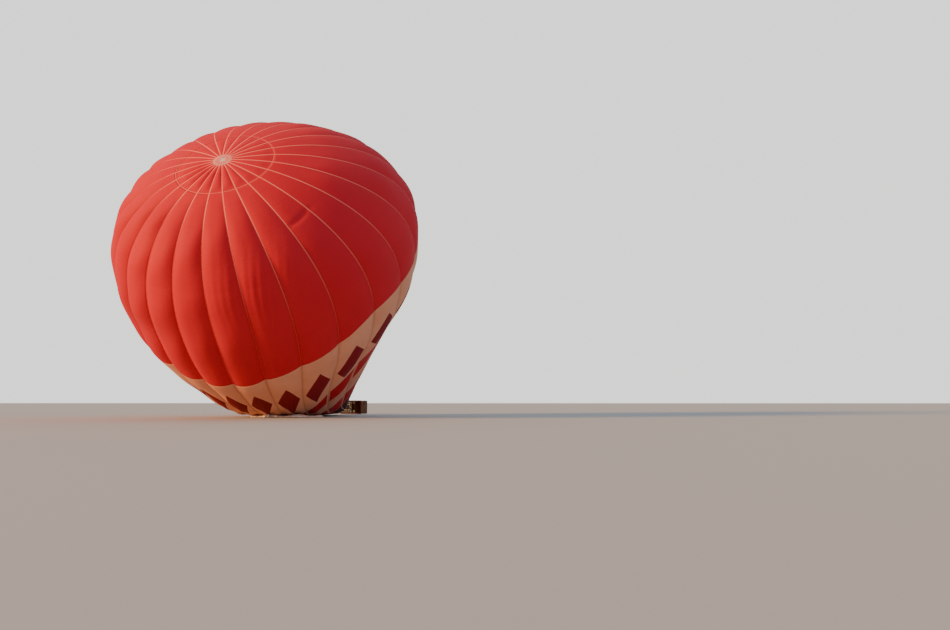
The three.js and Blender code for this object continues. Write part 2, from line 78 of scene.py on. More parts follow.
def profileTable():
    # two quarter ellipses, then a straight cone from the tangent to the mouth
    e = envelope
    a = e["lowerRise"] * e["mouthRadius"]
    b = e["equatorRadius"] * e["equatorHeight"]
    tangent = atan2(b, a) - acos(e["equatorRadius"] * e["lowerRise"] / hypot(a, b))
    upper = np.radians(np.linspace(90, 0, e["quarterPoints"]))
    lower = np.linspace(0, tangent, e["quarterPoints"])[1:]
    radius = np.concatenate([
        e["equatorRadius"] * np.cos(upper), e["equatorRadius"] * np.cos(lower), [e["mouthRadius"]]])
    height = np.concatenate([
        e["equatorHeight"] + e["crownRise"] * np.sin(upper),
        e["equatorHeight"] - e["lowerRise"] * np.sin(lower), [0.0]])
    steps = np.hypot(np.diff(radius), np.diff(height))
    return np.concatenate([[0.0], np.cumsum(steps)]), radius, height


profile = profileTable()
mouthEdge = profile[0][-1]


def radiusAt(along):
    return np.interp(along, profile[0], profile[1])


def angleOf(turn):
    return turn * 2 * pi / envelope["gores"]


def envelopePoint(along, turn, swell=0.0):
    e = envelope
    height = np.interp(along, profile[0], profile[2])
    half = pi * height / profile[2][0]
    arch, bend = (
        sum(size * np.sin((n + 1) * half) for n, size in enumerate(e[name])) for name in ("arch", "bend"))
    side, up, twice = e["slack"]
    angle = angleOf(turn)
    slack = side * np.cos(angle) + up * np.sin(angle) + twice * np.sin(2 * angle)
    angle = angle + slack * np.sin(half)
    radius = radiusAt(along) + swell
    across = radius * np.cos(angle) * e["widthFactor"]
    ring = radius * np.sin(angle) * e["heightFactor"]
    sway = e["mouthSway"] * np.clip(1 - height / e["swayReach"], 0, None) ** 2
    upright = np.clip(1 - height / e["mouthReach"], 0, None) ** 2
    lift = ring + arch
    up, flat = sin(e["axisTilt"]), cos(e["axisTilt"])
    z = e["mouthHeight"] + height * up + lift * flat
    z = (z + np.hypot(z, e["restSoftness"])) / 2
    places = [sway + bend - across, -height * flat + (lift - ring * upright) * up, z]
    return np.stack(places, axis=-1) - np.array(e["liftCentre"])


def looseAt(turn):
    # 1 where the gores hang loose from the crown, towards the ground on the left
    slope, floor = envelope["looseReach"]
    return np.clip(slope * np.cos(angleOf(turn) - envelope["looseMiddle"]) - floor, 0, 1)


def swellAt(along, turn, across):
    # across runs from -1 at one tape to 1 at the next
    e = envelope
    past = along - e["ventEdge"]
    rise = np.clip(past / (e["swellStart"] - e["ventEdge"]), 0, 1) ** 2
    lean = 1 + e["swellLean"] * np.cos(angleOf(turn))
    bulge = 1 - np.abs(across) ** e["swellRound"]
    near = np.clip(past / e["crownSwellStart"], 0, 1)
    far = np.clip((e["crownSwellEnd"] - along) / e["crownSwellFade"], 0, 1)
    loose = looseAt(turn) * near * near * (3 - 2 * near) * far * bulge
    share = e["swellShare"] * rise * lean * (bulge - e["valleyShare"]) + e["crownSwell"] * loose
    return share * 2 * pi * radiusAt(along) / e["gores"]


def outwardAt(along, turn):
    step = 0.02
    low = np.maximum(along, 2 * step)
    down = envelopePoint(np.minimum(low + step, mouthEdge), turn) - envelopePoint(low - step, turn)
    around = step / radiusAt(low) / (2 * pi) * envelope["gores"]
    return unit(np.cross(envelopePoint(low, turn + around) - envelopePoint(low, turn - around), down))


def edgeAt(edge, turn):
    level, side, up = envelope[edge]
    return level + side * np.cos(angleOf(turn)) + up * np.sin(angleOf(turn))


# Where slack cloth carries a colour edge off its level: angle, reach in degrees and metres
slackShifts = dict(
    creamEdge=((308, 15, -1.0), (264, 15, 0.35), (212, 13, -0.55), (178, 13, 0.8)),
    checkEdge=((201, 15, -1.7), (242, 12, 1.5)),
)


def slackEdge(edge, turn):
    degrees = np.degrees(angleOf(turn)) % 360
    return edgeAt(edge, turn) + sum(
        rise * np.exp(-((degrees - middle) / reach) ** 2) for middle, reach, rise in slackShifts[edge])


def droopAt(turn):
    # the red cloth's edge droops between the tapes on the left, and is drawn up on the right
    return envelope["droop"] * np.clip(0.25 + 1.3 * np.cos(angleOf(turn)), -0.8, 1.0)


def skirtEdge(turn):
    share = envelope["skirtShare"]
    return edgeAt("checkEdge", turn) * (1 - share) + mouthEdge * share


# Where each coloured part starts, by the name of its upper edge
edges = dict(
    vent=lambda turn, across: envelope["ventEdge"] + envelope["seam"] + 0 * turn,
    cream=lambda turn, across: slackEdge("creamEdge", turn) + droopAt(turn) * (1 - across ** 2),
    check=lambda turn, across: slackEdge("checkEdge", turn),
    skirt=lambda turn, across: skirtEdge(turn),
    mouth=lambda turn, across: mouthEdge + 0 * turn,
)

# Wrinkles of the cloth: faint puckers beside the taped seams, soft dents, upright crinkles where
# the low front gores hang slack, folds where the cloth lies on the ground, and one long crease
# across two gores on the right of the crown
wrinkles = dict(
    puckerDepth=0.012, puckerLength=0.5, puckerReach=0.22, puckerStart=9.0, puckerFade=6.0, seamFlat=0.06,
    dentDepth=0.045, dents=16, seed=11, grownLength=3.0,
    crinkleDepth=0.016, crinkleLength=0.52, crinkleAt=(11.5, 16.6), crinkleSize=(2.6, 1.1),
    foldDepth=0.09, foldLength=1.1, foldHeight=1.3, foldSlant=0.35,
    creaseDepth=0.075, creaseWidth=0.2, creaseAlong=7.4, creaseBow=0.35, creaseTurns=(13.8, 15.05),
)
randomDents = np.random.default_rng(wrinkles["seed"])
dentWaves = [
    # waves along, waves round, phase
    (randomDents.uniform(0.3, 1.6), randomDents.integers(-9, 10), randomDents.uniform(0, 6.28))
    for _ in range(wrinkles["dents"])
]


def wrinkleAt(along, turn, across, place):
    w = wrinkles
    x, y, z = place[..., 0], place[..., 1], place[..., 2]
    toSeam = (1 - np.abs(across)) * pi * radiusAt(along) / envelope["gores"]
    # each tape puckers at places of its own
    shift = np.sin(np.round(turn) * 12.9) * 6 + 0.7 * np.sin(along * 1.7)
    pucker = w["puckerDepth"] * np.exp(-toSeam / w["puckerReach"]) * np.minimum(1, toSeam / w["seamFlat"])
    pucker = pucker * np.sin(along * 2 * pi / w["puckerLength"] + shift)
    pucker = pucker * np.clip((along - w["puckerStart"]) / w["puckerFade"], 0, 1)
    waves = sum(np.sin(a * along + k * angleOf(turn) + p) for a, k, p in dentWaves)
    dent = w["dentDepth"] * waves / sqrt(len(dentWaves)) * (1 - across ** 2)
    near = sum(((v - at) / size) ** 2 for v, at, size in zip(
        (along, turn), w["crinkleAt"], w["crinkleSize"]))
    crinkle = w["crinkleDepth"] * np.exp(-near) * (1 - across ** 4)
    crinkle = crinkle * np.sin(x * 2 * pi / w["crinkleLength"] + np.sin(z * 0.9))
    low = np.clip(1 - (z - ground) / w["foldHeight"], 0, 1)
    fold = w["foldDepth"] * low * low * (1 - across ** 2)
    fold = fold * (1 + np.sin((x + w["foldSlant"] * y) * 2 * pi / w["foldLength"] + np.sin(y * 1.3)))
    first, last = w["creaseTurns"]
    share = np.clip((turn - first) / (last - first), 0, 1)
    line = w["creaseAlong"] + w["creaseBow"] * share ** 2
    crease = -w["creaseDepth"] * np.exp(-((along - line) / w["creaseWidth"]) ** 2)
    crease = crease * np.sqrt(np.sin(pi * share) + 1e-9) * (1 - across ** 8)
    grown = np.clip((along - envelope["ventEdge"]) / w["grownLength"], 0, 1)
    return (pucker + dent + crinkle + crease) * grown * (1 - low), fold


def clothPoint(along, turn, across, out=0.0):
    # across is given apart from turn, so that a gore's two edges belong to it
    place = envelopePoint(along, turn, swellAt(along, turn, across))
    wave, fold = wrinkleAt(along, turn, across, place)
    place = place + outwardAt(along, turn) * np.expand_dims(out + wave, -1)
    place[..., 2] = np.maximum(place[..., 2] + fold, ground + envelope["rest"])
    return place


def gorePlace(u):
    # once round the envelope: the turn, and where it falls between two tapes
    turn = u * envelope["gores"]
    return turn, 2 * (turn - np.floor(turn)) - 1


def linear(hexColour):
    parts = [int(hexColour[i:i + 2], 16) / 255 for i in (1, 3, 5)]
    return (*[p / 12.92 if p <= 0.04045 else ((p + 0.055) / 1.055) ** 2.4 for p in parts], 1)


def setInputs(node, values):
    # a colour is given as hex, and a node stands for its first output in use
    for name, value in values.items():
        if isinstance(value, bpy.types.Node):
            value = next(socket for socket in value.outputs if socket.enabled)
        if isinstance(value, bpy.types.NodeSocket):
            node.id_data.links.new(value, node.inputs[name])
        else:
            node.inputs[name].default_value = linear(value) if isinstance(value, str) else value


def addNode(tree, kind, values=None, **settings):
    made = tree.nodes.new(kind)
    for name, value in settings.items():
        setattr(made, name, value)
    setInputs(made, values or {})
    return made


def newMaterial(name, **sockets):
    material = bpy.data.materials.new(name)
    material.use_nodes = True
    shader = material.node_tree.nodes["Principled BSDF"]
    setInputs(shader, {socket.replace("_", " "): value for socket, value in sockets.items()})
    return material, material.node_tree, shader


def chosen(pieces):
    bpy.ops.object.select_all(action="DESELECT")
    for piece in pieces:
        piece.select_set(True)
    bpy.context.view_layer.objects.active = pieces[0]


def joinAll(pieces, name):
    chosen(pieces)
    if len(pieces) > 1:
        bpy.ops.object.join()
    joined = bpy.context.object
    joined.name = name
    joined.data.name = name
    bpy.ops.object.select_all(action="DESELECT")
    return joined


def applyModifier(piece, kind, **settings):
    chosen([piece])
    bpy.ops.object.modifier_add(type=kind)
    modifier = piece.modifiers[-1]
    for name, value in settings.items():
        setattr(modifier, name, value)
    bpy.ops.object.modifier_apply(modifier=modifier.name)
    bpy.ops.object.select_all(action="DESELECT")
    return piece


def readPlaces(piece):
    places = np.empty(len(piece.data.vertices) * 3)
    piece.data.vertices.foreach_get("co", places)
    return places.reshape(-1, 3)


def writePlaces(piece, places):
    piece.data.vertices.foreach_set("co", np.ascontiguousarray(places, dtype=np.float32).ravel())
    piece.data.update()


def writeMarks(piece, name, columns):
    marks = piece.data.attributes.new(name, "FLOAT_VECTOR", "POINT")
    columns = [np.broadcast_to(c, len(piece.data.vertices)) for c in columns]
    marks.data.foreach_set("vector", np.stack(columns, -1).astype(np.float32).ravel())


def flatGrid(name, across, steps):
    # a grid, and where its points lie from 0 to 1 each way
    bpy.ops.mesh.primitive_grid_add(x_subdivisions=across, y_subdivisions=steps, size=2)
    piece = bpy.context.object
    piece.name = name
    u, v = (readPlaces(piece)[:, :2].T + 1) / 2
    return piece, u, v


def surfaceGrid(name, across, steps, placer):
    piece, u, v = flatGrid(name, across, steps)
    writePlaces(piece, placer(u, v))
    return piece


def clothGrid(name, across, steps, placer):
    # a grid laid on the envelope: placer turns (u, v) into along, turn, across and distance out
    piece, u, v = flatGrid(name, across, steps)
    along, turn, inGore, out, share = placer(u, v)
    writePlaces(piece, clothPoint(along, turn, inGore, out))
    writeMarks(piece, "gorePlace", [turn, along, share])
    return piece


def ringGrid(name, around, sides):
    # a closed ring, the number of each point round it and its angle in the section
    bpy.ops.mesh.primitive_torus_add(
        major_segments=around, minor_segments=sides, major_radius=1, minor_radius=0.25)
    piece = bpy.context.object
    piece.name = name
    x, y, z = readPlaces(piece).T
    i = np.round(np.arctan2(y, x) / (2 * pi) % 1 * around).astype(int) % around
    return piece, i, np.arctan2(z, np.hypot(x, y) - 1)


def weld(piece, distance=1e-5):
    # closes seams and poles and turns every face outwards
    chosen([piece])
    bpy.ops.object.mode_set(mode="EDIT")
    bpy.ops.mesh.select_all(action="SELECT")
    bpy.ops.mesh.remove_doubles(threshold=distance)
    bpy.ops.mesh.normals_make_consistent(inside=False)
    bpy.ops.object.mode_set(mode="OBJECT")
    bpy.ops.object.select_all(action="DESELECT")
    return piece


def dress(piece, material, body, nodes=(), sharp=None):
    # finish of a piece, the body that carries it and the nodes that it stands for
    chosen([piece])
    if sharp is None:
        bpy.ops.object.shade_smooth()
    else:
        bpy.ops.object.shade_smooth_by_angle(angle=radians(sharp))
    bpy.ops.object.select_all(action="DESELECT")
    piece.data.materials.clear()
    piece.data.materials.append(material)
    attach(piece, body)
    if nodes:
        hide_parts(*nodes)
    return piece


def clothArea(piece):
    return sum(face.area for face in piece.data.polygons)


def goreGrid(name, index, top, bottom, across, steps):
    def placer(u, v):
        inGore = 2 * u - 1
        turn = index + 0.5 + inGore * 0.4999
        start, end = edges[top](turn, inGore), edges[bottom](turn, inGore)
        along = start + (end - start) * v
        straight, low = edges[top](turn, 1.0), edges[bottom](turn, 1.0)
        return along, turn, inGore, 0.0, (along - straight) / (low - straight)
    return clothGrid(name, across, steps, placer)


def sewnCloth(sheets, name, material, node):
    # joins gore wide sheets to one piece and gives it its thickness
    piece = joinAll(sheets, name)
    marks = np.empty(len(piece.data.vertices) * 3)
    piece.data.attributes["gorePlace"].data.foreach_get("vector", marks)
    applyModifier(piece, "SOLIDIFY", thickness=envelope["clothThickness"], offset=-1)
    dress(piece, material, "root", [node])


# Cloth of the envelope
cloth = dict(
    panel=1.45, seamWidth=0.016, seamShade=0.08, seamColour="#2a0806",  # metres between seams across a gore
    creases=3.2, creaseDepth=0.03, weave=160.0, weaveDepth=0.0006,  # the weave is drawn about 6 mm wide
)


def clothFinish(name, tones, cloud, creaseStrength, pattern=None, patternColour=None, **sockets):
    # woven nylon that was packed in a bag: panel seams, soft packing creases and a fine weave
    c = cloth
    material, tree, shader = newMaterial(name, **sockets)
    place = addNode(tree, "ShaderNodeTexCoord").outputs["Object"]
    marks = addNode(tree, "ShaderNodeAttribute", attribute_name="gorePlace").outputs["Vector"]
    parts = addNode(tree, "ShaderNodeSeparateXYZ", {0: marks}).outputs
    colour = tones[0]
    if cloud:
        soft = addNode(tree, "ShaderNodeTexNoise", {
            "Vector": place, "Scale": cloud[0], "Detail": cloud[1]})
        colour = addNode(
            tree, "ShaderNodeMix", {"Factor": soft, "A": colour, "B": tones[1]}, data_type="RGBA")
    if pattern:
        colour = addNode(tree, "ShaderNodeMix", {
            "Factor": pattern(tree, parts), "A": colour, "B": patternColour}, data_type="RGBA")
    toSeam = addNode(tree, "ShaderNodeMath", {0: parts["Y"], 1: c["panel"] / 2}, operation="PINGPONG")
    onSeam = addNode(tree, "ShaderNodeMath", {0: toSeam, 1: c["seamWidth"]}, operation="LESS_THAN")
    darker = addNode(tree, "ShaderNodeMath", {0: onSeam, 1: c["seamShade"]}, operation="MULTIPLY")
    colour = addNode(
        tree, "ShaderNodeMix", {"Factor": darker, "A": colour, "B": c["seamColour"]}, data_type="RGBA")
    creases = addNode(tree, "ShaderNodeTexNoise", {
        "Vector": place, "Scale": c["creases"], "Detail": 4.0, "Roughness": 0.6})
    creased = addNode(tree, "ShaderNodeBump", {
        "Height": creases, "Strength": creaseStrength, "Distance": c["creaseDepth"]})
    ripstop = addNode(tree, "ShaderNodeTexBrick", {
        "Vector": place, "Scale": c["weave"], "Mortar Size": 0.06, "Brick Width": 1.0,
        "Row Height": 1.0}, offset=0.0).outputs["Fac"]
    woven = addNode(tree, "ShaderNodeBump", {
        "Height": ripstop, "Strength": 0.08, "Distance": c["weaveDepth"], "Normal": creased})
    setInputs(shader, {"Base Color": colour, "Normal": woven})
    return material


def plainFinish(name, tones, roughness, scale, depth, strength=0.35, detail=5.0, cloud=None, **sockets):
    # two close tones in soft clouds under a fine relief, for leather, rubber, enamel and the like
    material, tree, shader = newMaterial(name, Roughness=roughness, **sockets)
    place = addNode(tree, "ShaderNodeTexCoord").outputs["Object"]
    soft = addNode(tree, "ShaderNodeTexNoise", {"Vector": place, "Scale": cloud or scale / 6, "Detail": 4.0})
    colour = addNode(
        tree, "ShaderNodeMix", {"Factor": soft, "A": tones[0], "B": tones[1]}, data_type="RGBA")
    fine = addNode(tree, "ShaderNodeTexNoise", {"Vector": place, "Scale": scale, "Detail": detail})
    relief = addNode(tree, "ShaderNodeBump", {"Height": fine, "Strength": strength, "Distance": depth})
    setInputs(shader, {"Base Color": colour, "Normal": relief})
    if cloud:
        # metal is duller in its clouds
        setInputs(shader, {"Roughness": addNode(tree, "ShaderNodeMapRange", {
            "Value": soft, "To Min": roughness - 0.08, "To Max": roughness + 0.12})})
    return material


def brushedMetal(name, tones, roughness):
    # metal brushed round: fine lines that spread the shine sideways, some duller cloud
    return plainFinish(name, tones, roughness, 400.0, 0.0005, 0.12, 2.0, cloud=7.0, Metallic=1.0)


# Gores: red, from the vent to the cream band, of coated ripstop nylon, woven and calendered: an
# even saturated red with a soft pale sheen
gorePieces = dict(across=22, steps=130)


def makeGores(nylon):
    for index in range(envelope["gores"]):
        number = f"{index + 1:02d}"
        sheet = goreGrid(
            f"sheet_{number}", index, "vent", "cream", gorePieces["across"], gorePieces["steps"])
        sewnCloth([sheet], f"gore_cloth_{number}", nylon, f"gore_{number}")
    print("gores sewn")


redNylon = clothFinish(
    "coated ripstop nylon red", ("#c41f2e", "#d42834"), (0.22, 3.0), 0.3, Roughness=0.66,
    Sheen_Weight=0.03, Sheen_Roughness=0.5, Sheen_Tint="#ff9c84", IOR=1.46, Specular_IOR_Level=0.12)
makeGores(redNylon)

# Bands below the gores, each sewn in four lengths. Measures of the lozenges and rows of patches
# are shares of a gore and of the band's height.
bands = dict(
    lengths=4, lozengeShift=0.5, lozengeWide=0.4, lozengeTall=0.33, lozengeMiddle=0.6,
    patchRows=(0.282, 0.597), patchWide=0.88,
)


def maroonLozenges(tree, parts):
    # 1 inside a plain lozenge, one in every gore
    b = bands
    shifted = addNode(tree, "ShaderNodeMath", {0: parts["X"], 1: b["lozengeShift"]}, operation="SUBTRACT")
    sideways = addNode(tree, "ShaderNodeMath", {0: shifted, 1: 0.5}, operation="PINGPONG")
    wide = addNode(tree, "ShaderNodeMath", {0: sideways, 1: b["lozengeWide"]}, operation="DIVIDE")
    above = addNode(tree, "ShaderNodeMath", {0: parts["Z"], 1: b["lozengeMiddle"]}, operation="SUBTRACT")
    upDown = addNode(tree, "ShaderNodeMath", {0: above}, operation="ABSOLUTE")
    tall = addNode(tree, "ShaderNodeMath", {0: upDown, 1: b["lozengeTall"]}, operation="DIVIDE")
    both = addNode(tree, "ShaderNodeMath", {0: wide, 1: tall}, operation="ADD")
    return addNode(tree, "ShaderNodeMath", {0: both, 1: 1.0}, operation="LESS_THAN")


def redPatches(tree, parts):
    # 1 inside the patches of the upper and the lower row
    high, low = bands["patchRows"]
    above = addNode(tree, "ShaderNodeMath", {0: parts["Z"], 1: high}, operation="LESS_THAN")
    below = addNode(tree, "ShaderNodeMath", {0: parts["Z"], 1: low}, operation="GREATER_THAN")
    inRow = addNode(tree, "ShaderNodeMath", {0: above, 1: below}, operation="ADD")
    toTape = addNode(tree, "ShaderNodeMath", {0: parts["X"], 1: 0.5}, operation="PINGPONG")
    inGore = addNode(
        tree, "ShaderNodeMath", {0: toTape, 1: (1 - bands["patchWide"]) / 2}, operation="GREATER_THAN")
    return addNode(tree, "ShaderNodeMath", {0: inRow, 1: inGore}, operation="MULTIPLY")


def makeBands():
    nylon = dict(Roughness=0.66, IOR=1.46, Specular_IOR_Level=0.15)
    # cream ripstop nylon, slightly uneven, then red and cream patches sewn in rows, and round the
    # mouth heat proof aramid cloth: dark, matt and more creased
    # the cream of the band and its patches is darker and redder than the cloth's own pale cream, which the
    # slack cloth keeps: painted shade and red glow through the envelope
    cream = clothFinish(
        "coated ripstop nylon cream", ("#dc9474", "#ecac8c"), (0.5, 4.0), 0.45,
        maroonLozenges, "#84101c", **nylon)
    patched = clothFinish(
        "coated ripstop nylon patches", ["#dc967a"], None, 0.45,
        redPatches, "#bc141e", **nylon)
    aramid = clothFinish(
        "woven aramid cloth", ("#34100f", "#561816"), (1.2, 5.0), 0.5,
        Roughness=0.9, IOR=1.5, Specular_IOR_Level=0.15)
    rows = [
        # piece, node, slot, top, bottom, across, steps, material
        ("cream_cloth", "cream_band", "cream_fabric", "cream", "check", 18, 54, cream),
        ("check_cloth", "check_band", "check_fabric", "check", "skirt", 14, 50, patched),
        ("mouth_cloth", "mouth_skirt", "mouth_fabric", "skirt", "mouth", 12, 36, aramid),
    ]
    each = envelope["gores"] // bands["lengths"]
    for name, node, slot, top, bottom, across, steps, material in rows:
        for part in range(bands["lengths"]):
            sheets = [
                goreGrid(f"{name}_sheet_{i}", i, top, bottom, across, steps)
                for i in range(part * each, (part + 1) * each)
            ]
            sewnCloth(sheets, f"{name}_{part + 1}", material, node)
    print("bands sewn")


makeBands()

# Load tapes along the seams, the tapes of the crown, and the mouth's edge rolled round a rope
tapes = dict(
    width=0.075, thickness=0.005, proud=0.007, steps=130, lowSteps=90,
    paleStart=4.5, paleStartSway=1.6, paleLength=7.5, paleLengthSway=4.0, ventRedAndShade=0.35,
    crownStart=0.2, crownShare=0.24, crownOut=0.002, crownSteps=24,
    ventWidth=0.05, ventOut=0.006, ventSteps=288,
    hemRadius=0.018, hemIn=-0.003, hemReach=0.2, hemSteps=288, hemSides=8,
)


def webbing(name, upper, lower):
    # flat polyester webbing in a fine weave. The load tapes are pale at the crown and redder lower
    # down, partly their own colour and partly painted shade of the valleys between the gores.
    material, tree, shader = newMaterial(name, Roughness=0.8, Specular_IOR_Level=0.25)
    place = addNode(tree, "ShaderNodeTexCoord").outputs["Object"]
    marks = addNode(tree, "ShaderNodeAttribute", attribute_name="gorePlace").outputs["Vector"]
    redAndShade = addNode(tree, "ShaderNodeSeparateXYZ", {0: marks}).outputs["Z"]
    weave = addNode(tree, "ShaderNodeTexNoise", {"Vector": place, "Scale": 220.0, "Detail": 1.0})
    setInputs(shader, {
        "Base Color": addNode(
            tree, "ShaderNodeMix", {"Factor": redAndShade, "A": upper, "B": lower}, data_type="RGBA"),
        "Normal": addNode(tree, "ShaderNodeBump", {"Height": weave, "Strength": 0.2, "Distance": 0.001})})
    return material


def tapeRedAndShadeAt(along, turn):
    # how far a tape has turned from pale to red: 0 pale, 1 red, sooner on the left. The turn is
    # partly the tape's colour and partly painted shade of the valleys, deepest on the left.
    t = tapes
    side = -np.cos(angleOf(turn))
    start = t["paleStart"] + t["paleStartSway"] * side
    return np.clip((along - start) / (t["paleLength"] + t["paleLengthSway"] * side), 0, 1)


def tapeGrid(index, top, bottom, steps):
    # a tape from one edge to another; without a top edge it is a tape of the crown
    t = tapes

    def placer(u, v):
        x, turn = 2 * u - 1, index + 0 * u
        start = edges[top](turn, 1.0) if top else t["crownStart"]
        along = start + (edges[bottom](turn, 1.0) - start) * v
        width = np.minimum(t["width"], t["crownShare"] * along)
        offset = x * width / 2 / (2 * pi * radiusAt(along)) * envelope["gores"]
        inGore = np.where(x >= 0, -1 + 2 * np.abs(offset), 1 - 2 * np.abs(offset))
        return along, index + offset, inGore, t["proud" if top else "crownOut"], tapeRedAndShadeAt(along, turn)
    return clothGrid(f"tape_{index}_{bottom}", 4 if top else 2, steps, placer)


def ventTape():
    t = tapes

    def placer(u, v):
        along = envelope["ventEdge"] + t["ventWidth"] * (v - 0.75)
        # the vent tape is given a fixed tone part way from pale to red
        return along, *gorePlace(u), t["ventOut"], t["ventRedAndShade"] + 0 * v
    return weld(clothGrid("vent_tape", t["ventSteps"], 1, placer), 1e-4)


def makeTapes():
    t = tapes
    salmon = webbing("woven polyester webbing salmon", "#ff8070", "#cf3434")
    # the tapes on the band take the same darker, redder tone: painted shade and red glow through the envelope
    cream = webbing("woven polyester webbing cream", "#d39470", "#d39470")
    rows = [
        # piece, top, bottom, steps, material, further strips, nodes
        ("load_tapes_red", "vent", "cream", t["steps"], salmon, [], []),
        ("load_tapes_low", "cream", "mouth", t["lowSteps"], cream, [], []),
        ("crown_webbing", None, "vent", t["crownSteps"], salmon, [ventTape()], ["crown_tapes"]),
    ]
    for name, top, bottom, steps, material, further, nodes in rows:
        strips = [tapeGrid(i, top, bottom, steps) for i in range(envelope["gores"])]
        piece = joinAll(strips + further, name)
        applyModifier(piece, "SOLIDIFY", thickness=t["thickness"], offset=-1)
        dress(piece, material, "root", nodes, 40)
    print("tapes sewn")


def makeMouthHem():
    t = tapes

    def placer(u, v):
        turn, inGore = gorePlace(u)
        centre, inner = (
            clothPoint(mouthEdge - back + 0 * u, turn, inGore, t["hemIn"]) for back in (0, t["hemReach"]))
        out = outwardAt(mouthEdge + 0 * u, turn)
        around = 2 * pi * v[:, None]
        return centre + t["hemRadius"] * (out * np.cos(around) + unit(centre - inner) * np.sin(around))
    hem = weld(surfaceGrid("mouth_hem", t["hemSteps"], t["hemSides"], placer), 1e-4)
    dress(hem, webbing("rolled hem webbing", "#4a201e", "#3a1a18"), "root")


makeTapes()
makeMouthHem()

# Parachute valve under the crown tapes, swelling a little between them
valve = dict(
    radius=3.62, depth=0.0135, steps=44, segments=288,
    swell=0.045, swellStart=0.42, swellRise=1.2, swellEnd=3.15, swellFade=0.5, loose=1.2,
)


def valveOut(along, turn, across):
    # how far the valve's cloth stands out: it is flat inside the crown ring
    v = valve
    room = np.clip((along - v["swellStart"]) / v["swellRise"], 0, 1)
    room = room * np.clip((v["swellEnd"] - along) / v["swellFade"], 0, 1)
    return v["swell"] * (1 + v["loose"] * looseAt(turn)) * room * (1 - across ** 2) - v["depth"]


def valveDisc(name, radius, segments, steps, out, thickness):
    # a round sheet on the valve: the piece and its area as sewn
    def placer(u, v):
        along, (turn, across) = radius * v, gorePlace(u)
        return along, turn, across, out + valveOut(along, turn, across), v
    piece = joinAll([weld(clothGrid(name, segments, steps, placer), 1e-3)], name)
    area = clothArea(piece)
    return applyModifier(piece, "SOLIDIFY", thickness=thickness, offset=-1), area


def makeValve(nylon):
    v = valve
    piece, area = valveDisc(
        "valve_cloth", v["radius"], v["segments"], v["steps"], 0, envelope["clothThickness"])
    dress(piece, nylon, "valve", ["parachute_valve"])
    print("valve sewn")


makeValve(redNylon)

# Slack cream cloth that lies in pleats along the ground in front of the envelope's belly
slackCloth = dict(
    turns=(15.35, 18.35), searched=(17.5, 27.0, 400), rise=0.24, reach=0.34, sag=0.12, out=0.02,
    pleat=0.31, pleatDepth=0.05, across=12, steps=320, thickness=0.003, clear=0.012,
    metresPerTurn=1.25, meanRadius=8.5,
)


def makeSlackCloth(nylon):
    s = slackCloth
    first, last = s["turns"]
    levels = np.linspace(*s["searched"])

    def strip(turn, share):
        # one line of the cloth, from where the envelope comes near the ground out to its hem
        line = clothPoint(levels, turn + 0 * levels, 2 * (turn % 1) - 1 + 0 * levels, s["out"])
        top = ground + s["rise"] * (0.75 + 0.25 * sin(turn * 5.1))
        low = line[:, 2] < top
        nearest = np.argmax(low) if low.any() else np.argmin(line[:, 2])
        start = line[nearest].copy()
        start[2] = min(start[2], top)
        away = unit(outwardAt(levels[nearest], turn) * (1, 1, 0))
        way = turn * s["metresPerTurn"]
        wave = sin(way / s["pleat"] * 2 * pi + 1.3 * sin(way * 1.7))
        fold = s["pleatDepth"] * wave * np.sin(pi * share)
        out = s["reach"] * (0.8 + 0.2 * sin(way * 2.3)) * share ** 1.3 + s["sag"] * np.sin(pi * share)
        places = start + np.outer(out + fold, away)
        level = start[2] + (ground + s["clear"] - start[2]) * share ** 0.8
        places[:, 2] = np.maximum(level + 0.4 * np.abs(fold), ground + envelope["rest"])
        return places

    def placer(u, v):
        turn = first + (last - first) * v
        places = np.empty((len(u), 3))
        for one in np.unique(turn):
            places[turn == one] = strip(one, u[turn == one])
        return places
    sheet = surfaceGrid("slack_cloth", s["across"], s["steps"], placer)
    applyModifier(sheet, "SOLIDIFY", thickness=s["thickness"], offset=-1)
    dress(sheet, nylon, "root")
    print("slack cloth laid")


makeSlackCloth(plainFinish(
    "coated ripstop nylon slack", ("#e6cdb6", "#f4e2d0"), 0.66, 4.8, 0.02,
    IOR=1.46, Specular_IOR_Level=0.15))

# Crown ring and the pale reinforcing patch in the middle of the valve
crown = dict(
    radius=0.28, tube=0.022, drop=0.0035, points=96, sides=16,
    patchRadius=0.62, patchOut=0.004, patchThickness=0.002,
    loopWidth=0.05, loopThickness=0.005, loopReach=0.09, loopSteps=9,
)


def rollAlong(name, path, radius, sides, closed=False):
    # a round tube along a path; a radius of 0 at an end closes it
    path = np.array(path, dtype=float)
    radius = np.broadcast_to(radius, len(path))
    ahead = np.roll(path, -1, axis=0) if closed else np.vstack([path[1:], 2 * path[-1] - path[-2]])
    behind = np.roll(path, 1, axis=0) if closed else np.vstack([2 * path[0] - path[1], path[:-1]])
    runs = ahead - behind
    for i in range(len(runs)):
        if np.linalg.norm(runs[i]) < 1e-9:
            runs[i] = runs[i - 1] if i else runs[1]
    runs = unit(runs)
    beside = [unit(np.cross(runs[0], (0, 0, 1) if abs(runs[0][2]) < 0.9 else (1, 0, 0)))]
    for run in runs[1:]:
        beside.append(unit(beside[-1] - run * np.dot(beside[-1], run)))
    beside = np.array(beside)
    upward = np.cross(runs, beside)
    count = len(path) if closed else len(path) - 1

    def placer(u, v):
        i = np.round(v * count).astype(int) % len(path)
        around = 2 * pi * u[:, None]
        out = beside[i] * np.cos(around) + upward[i] * np.sin(around)
        return path[i] + out * radius[i][:, None]
    return weld(surfaceGrid(name, sides, count, placer))


def cappedRoll(name, path, radius, sides):
    # a round tube with a flat end at each side
    radius = np.broadcast_to(radius, len(path))
    return rollAlong(name, [path[0], *path, path[-1]], [0, *radius, 0], sides)


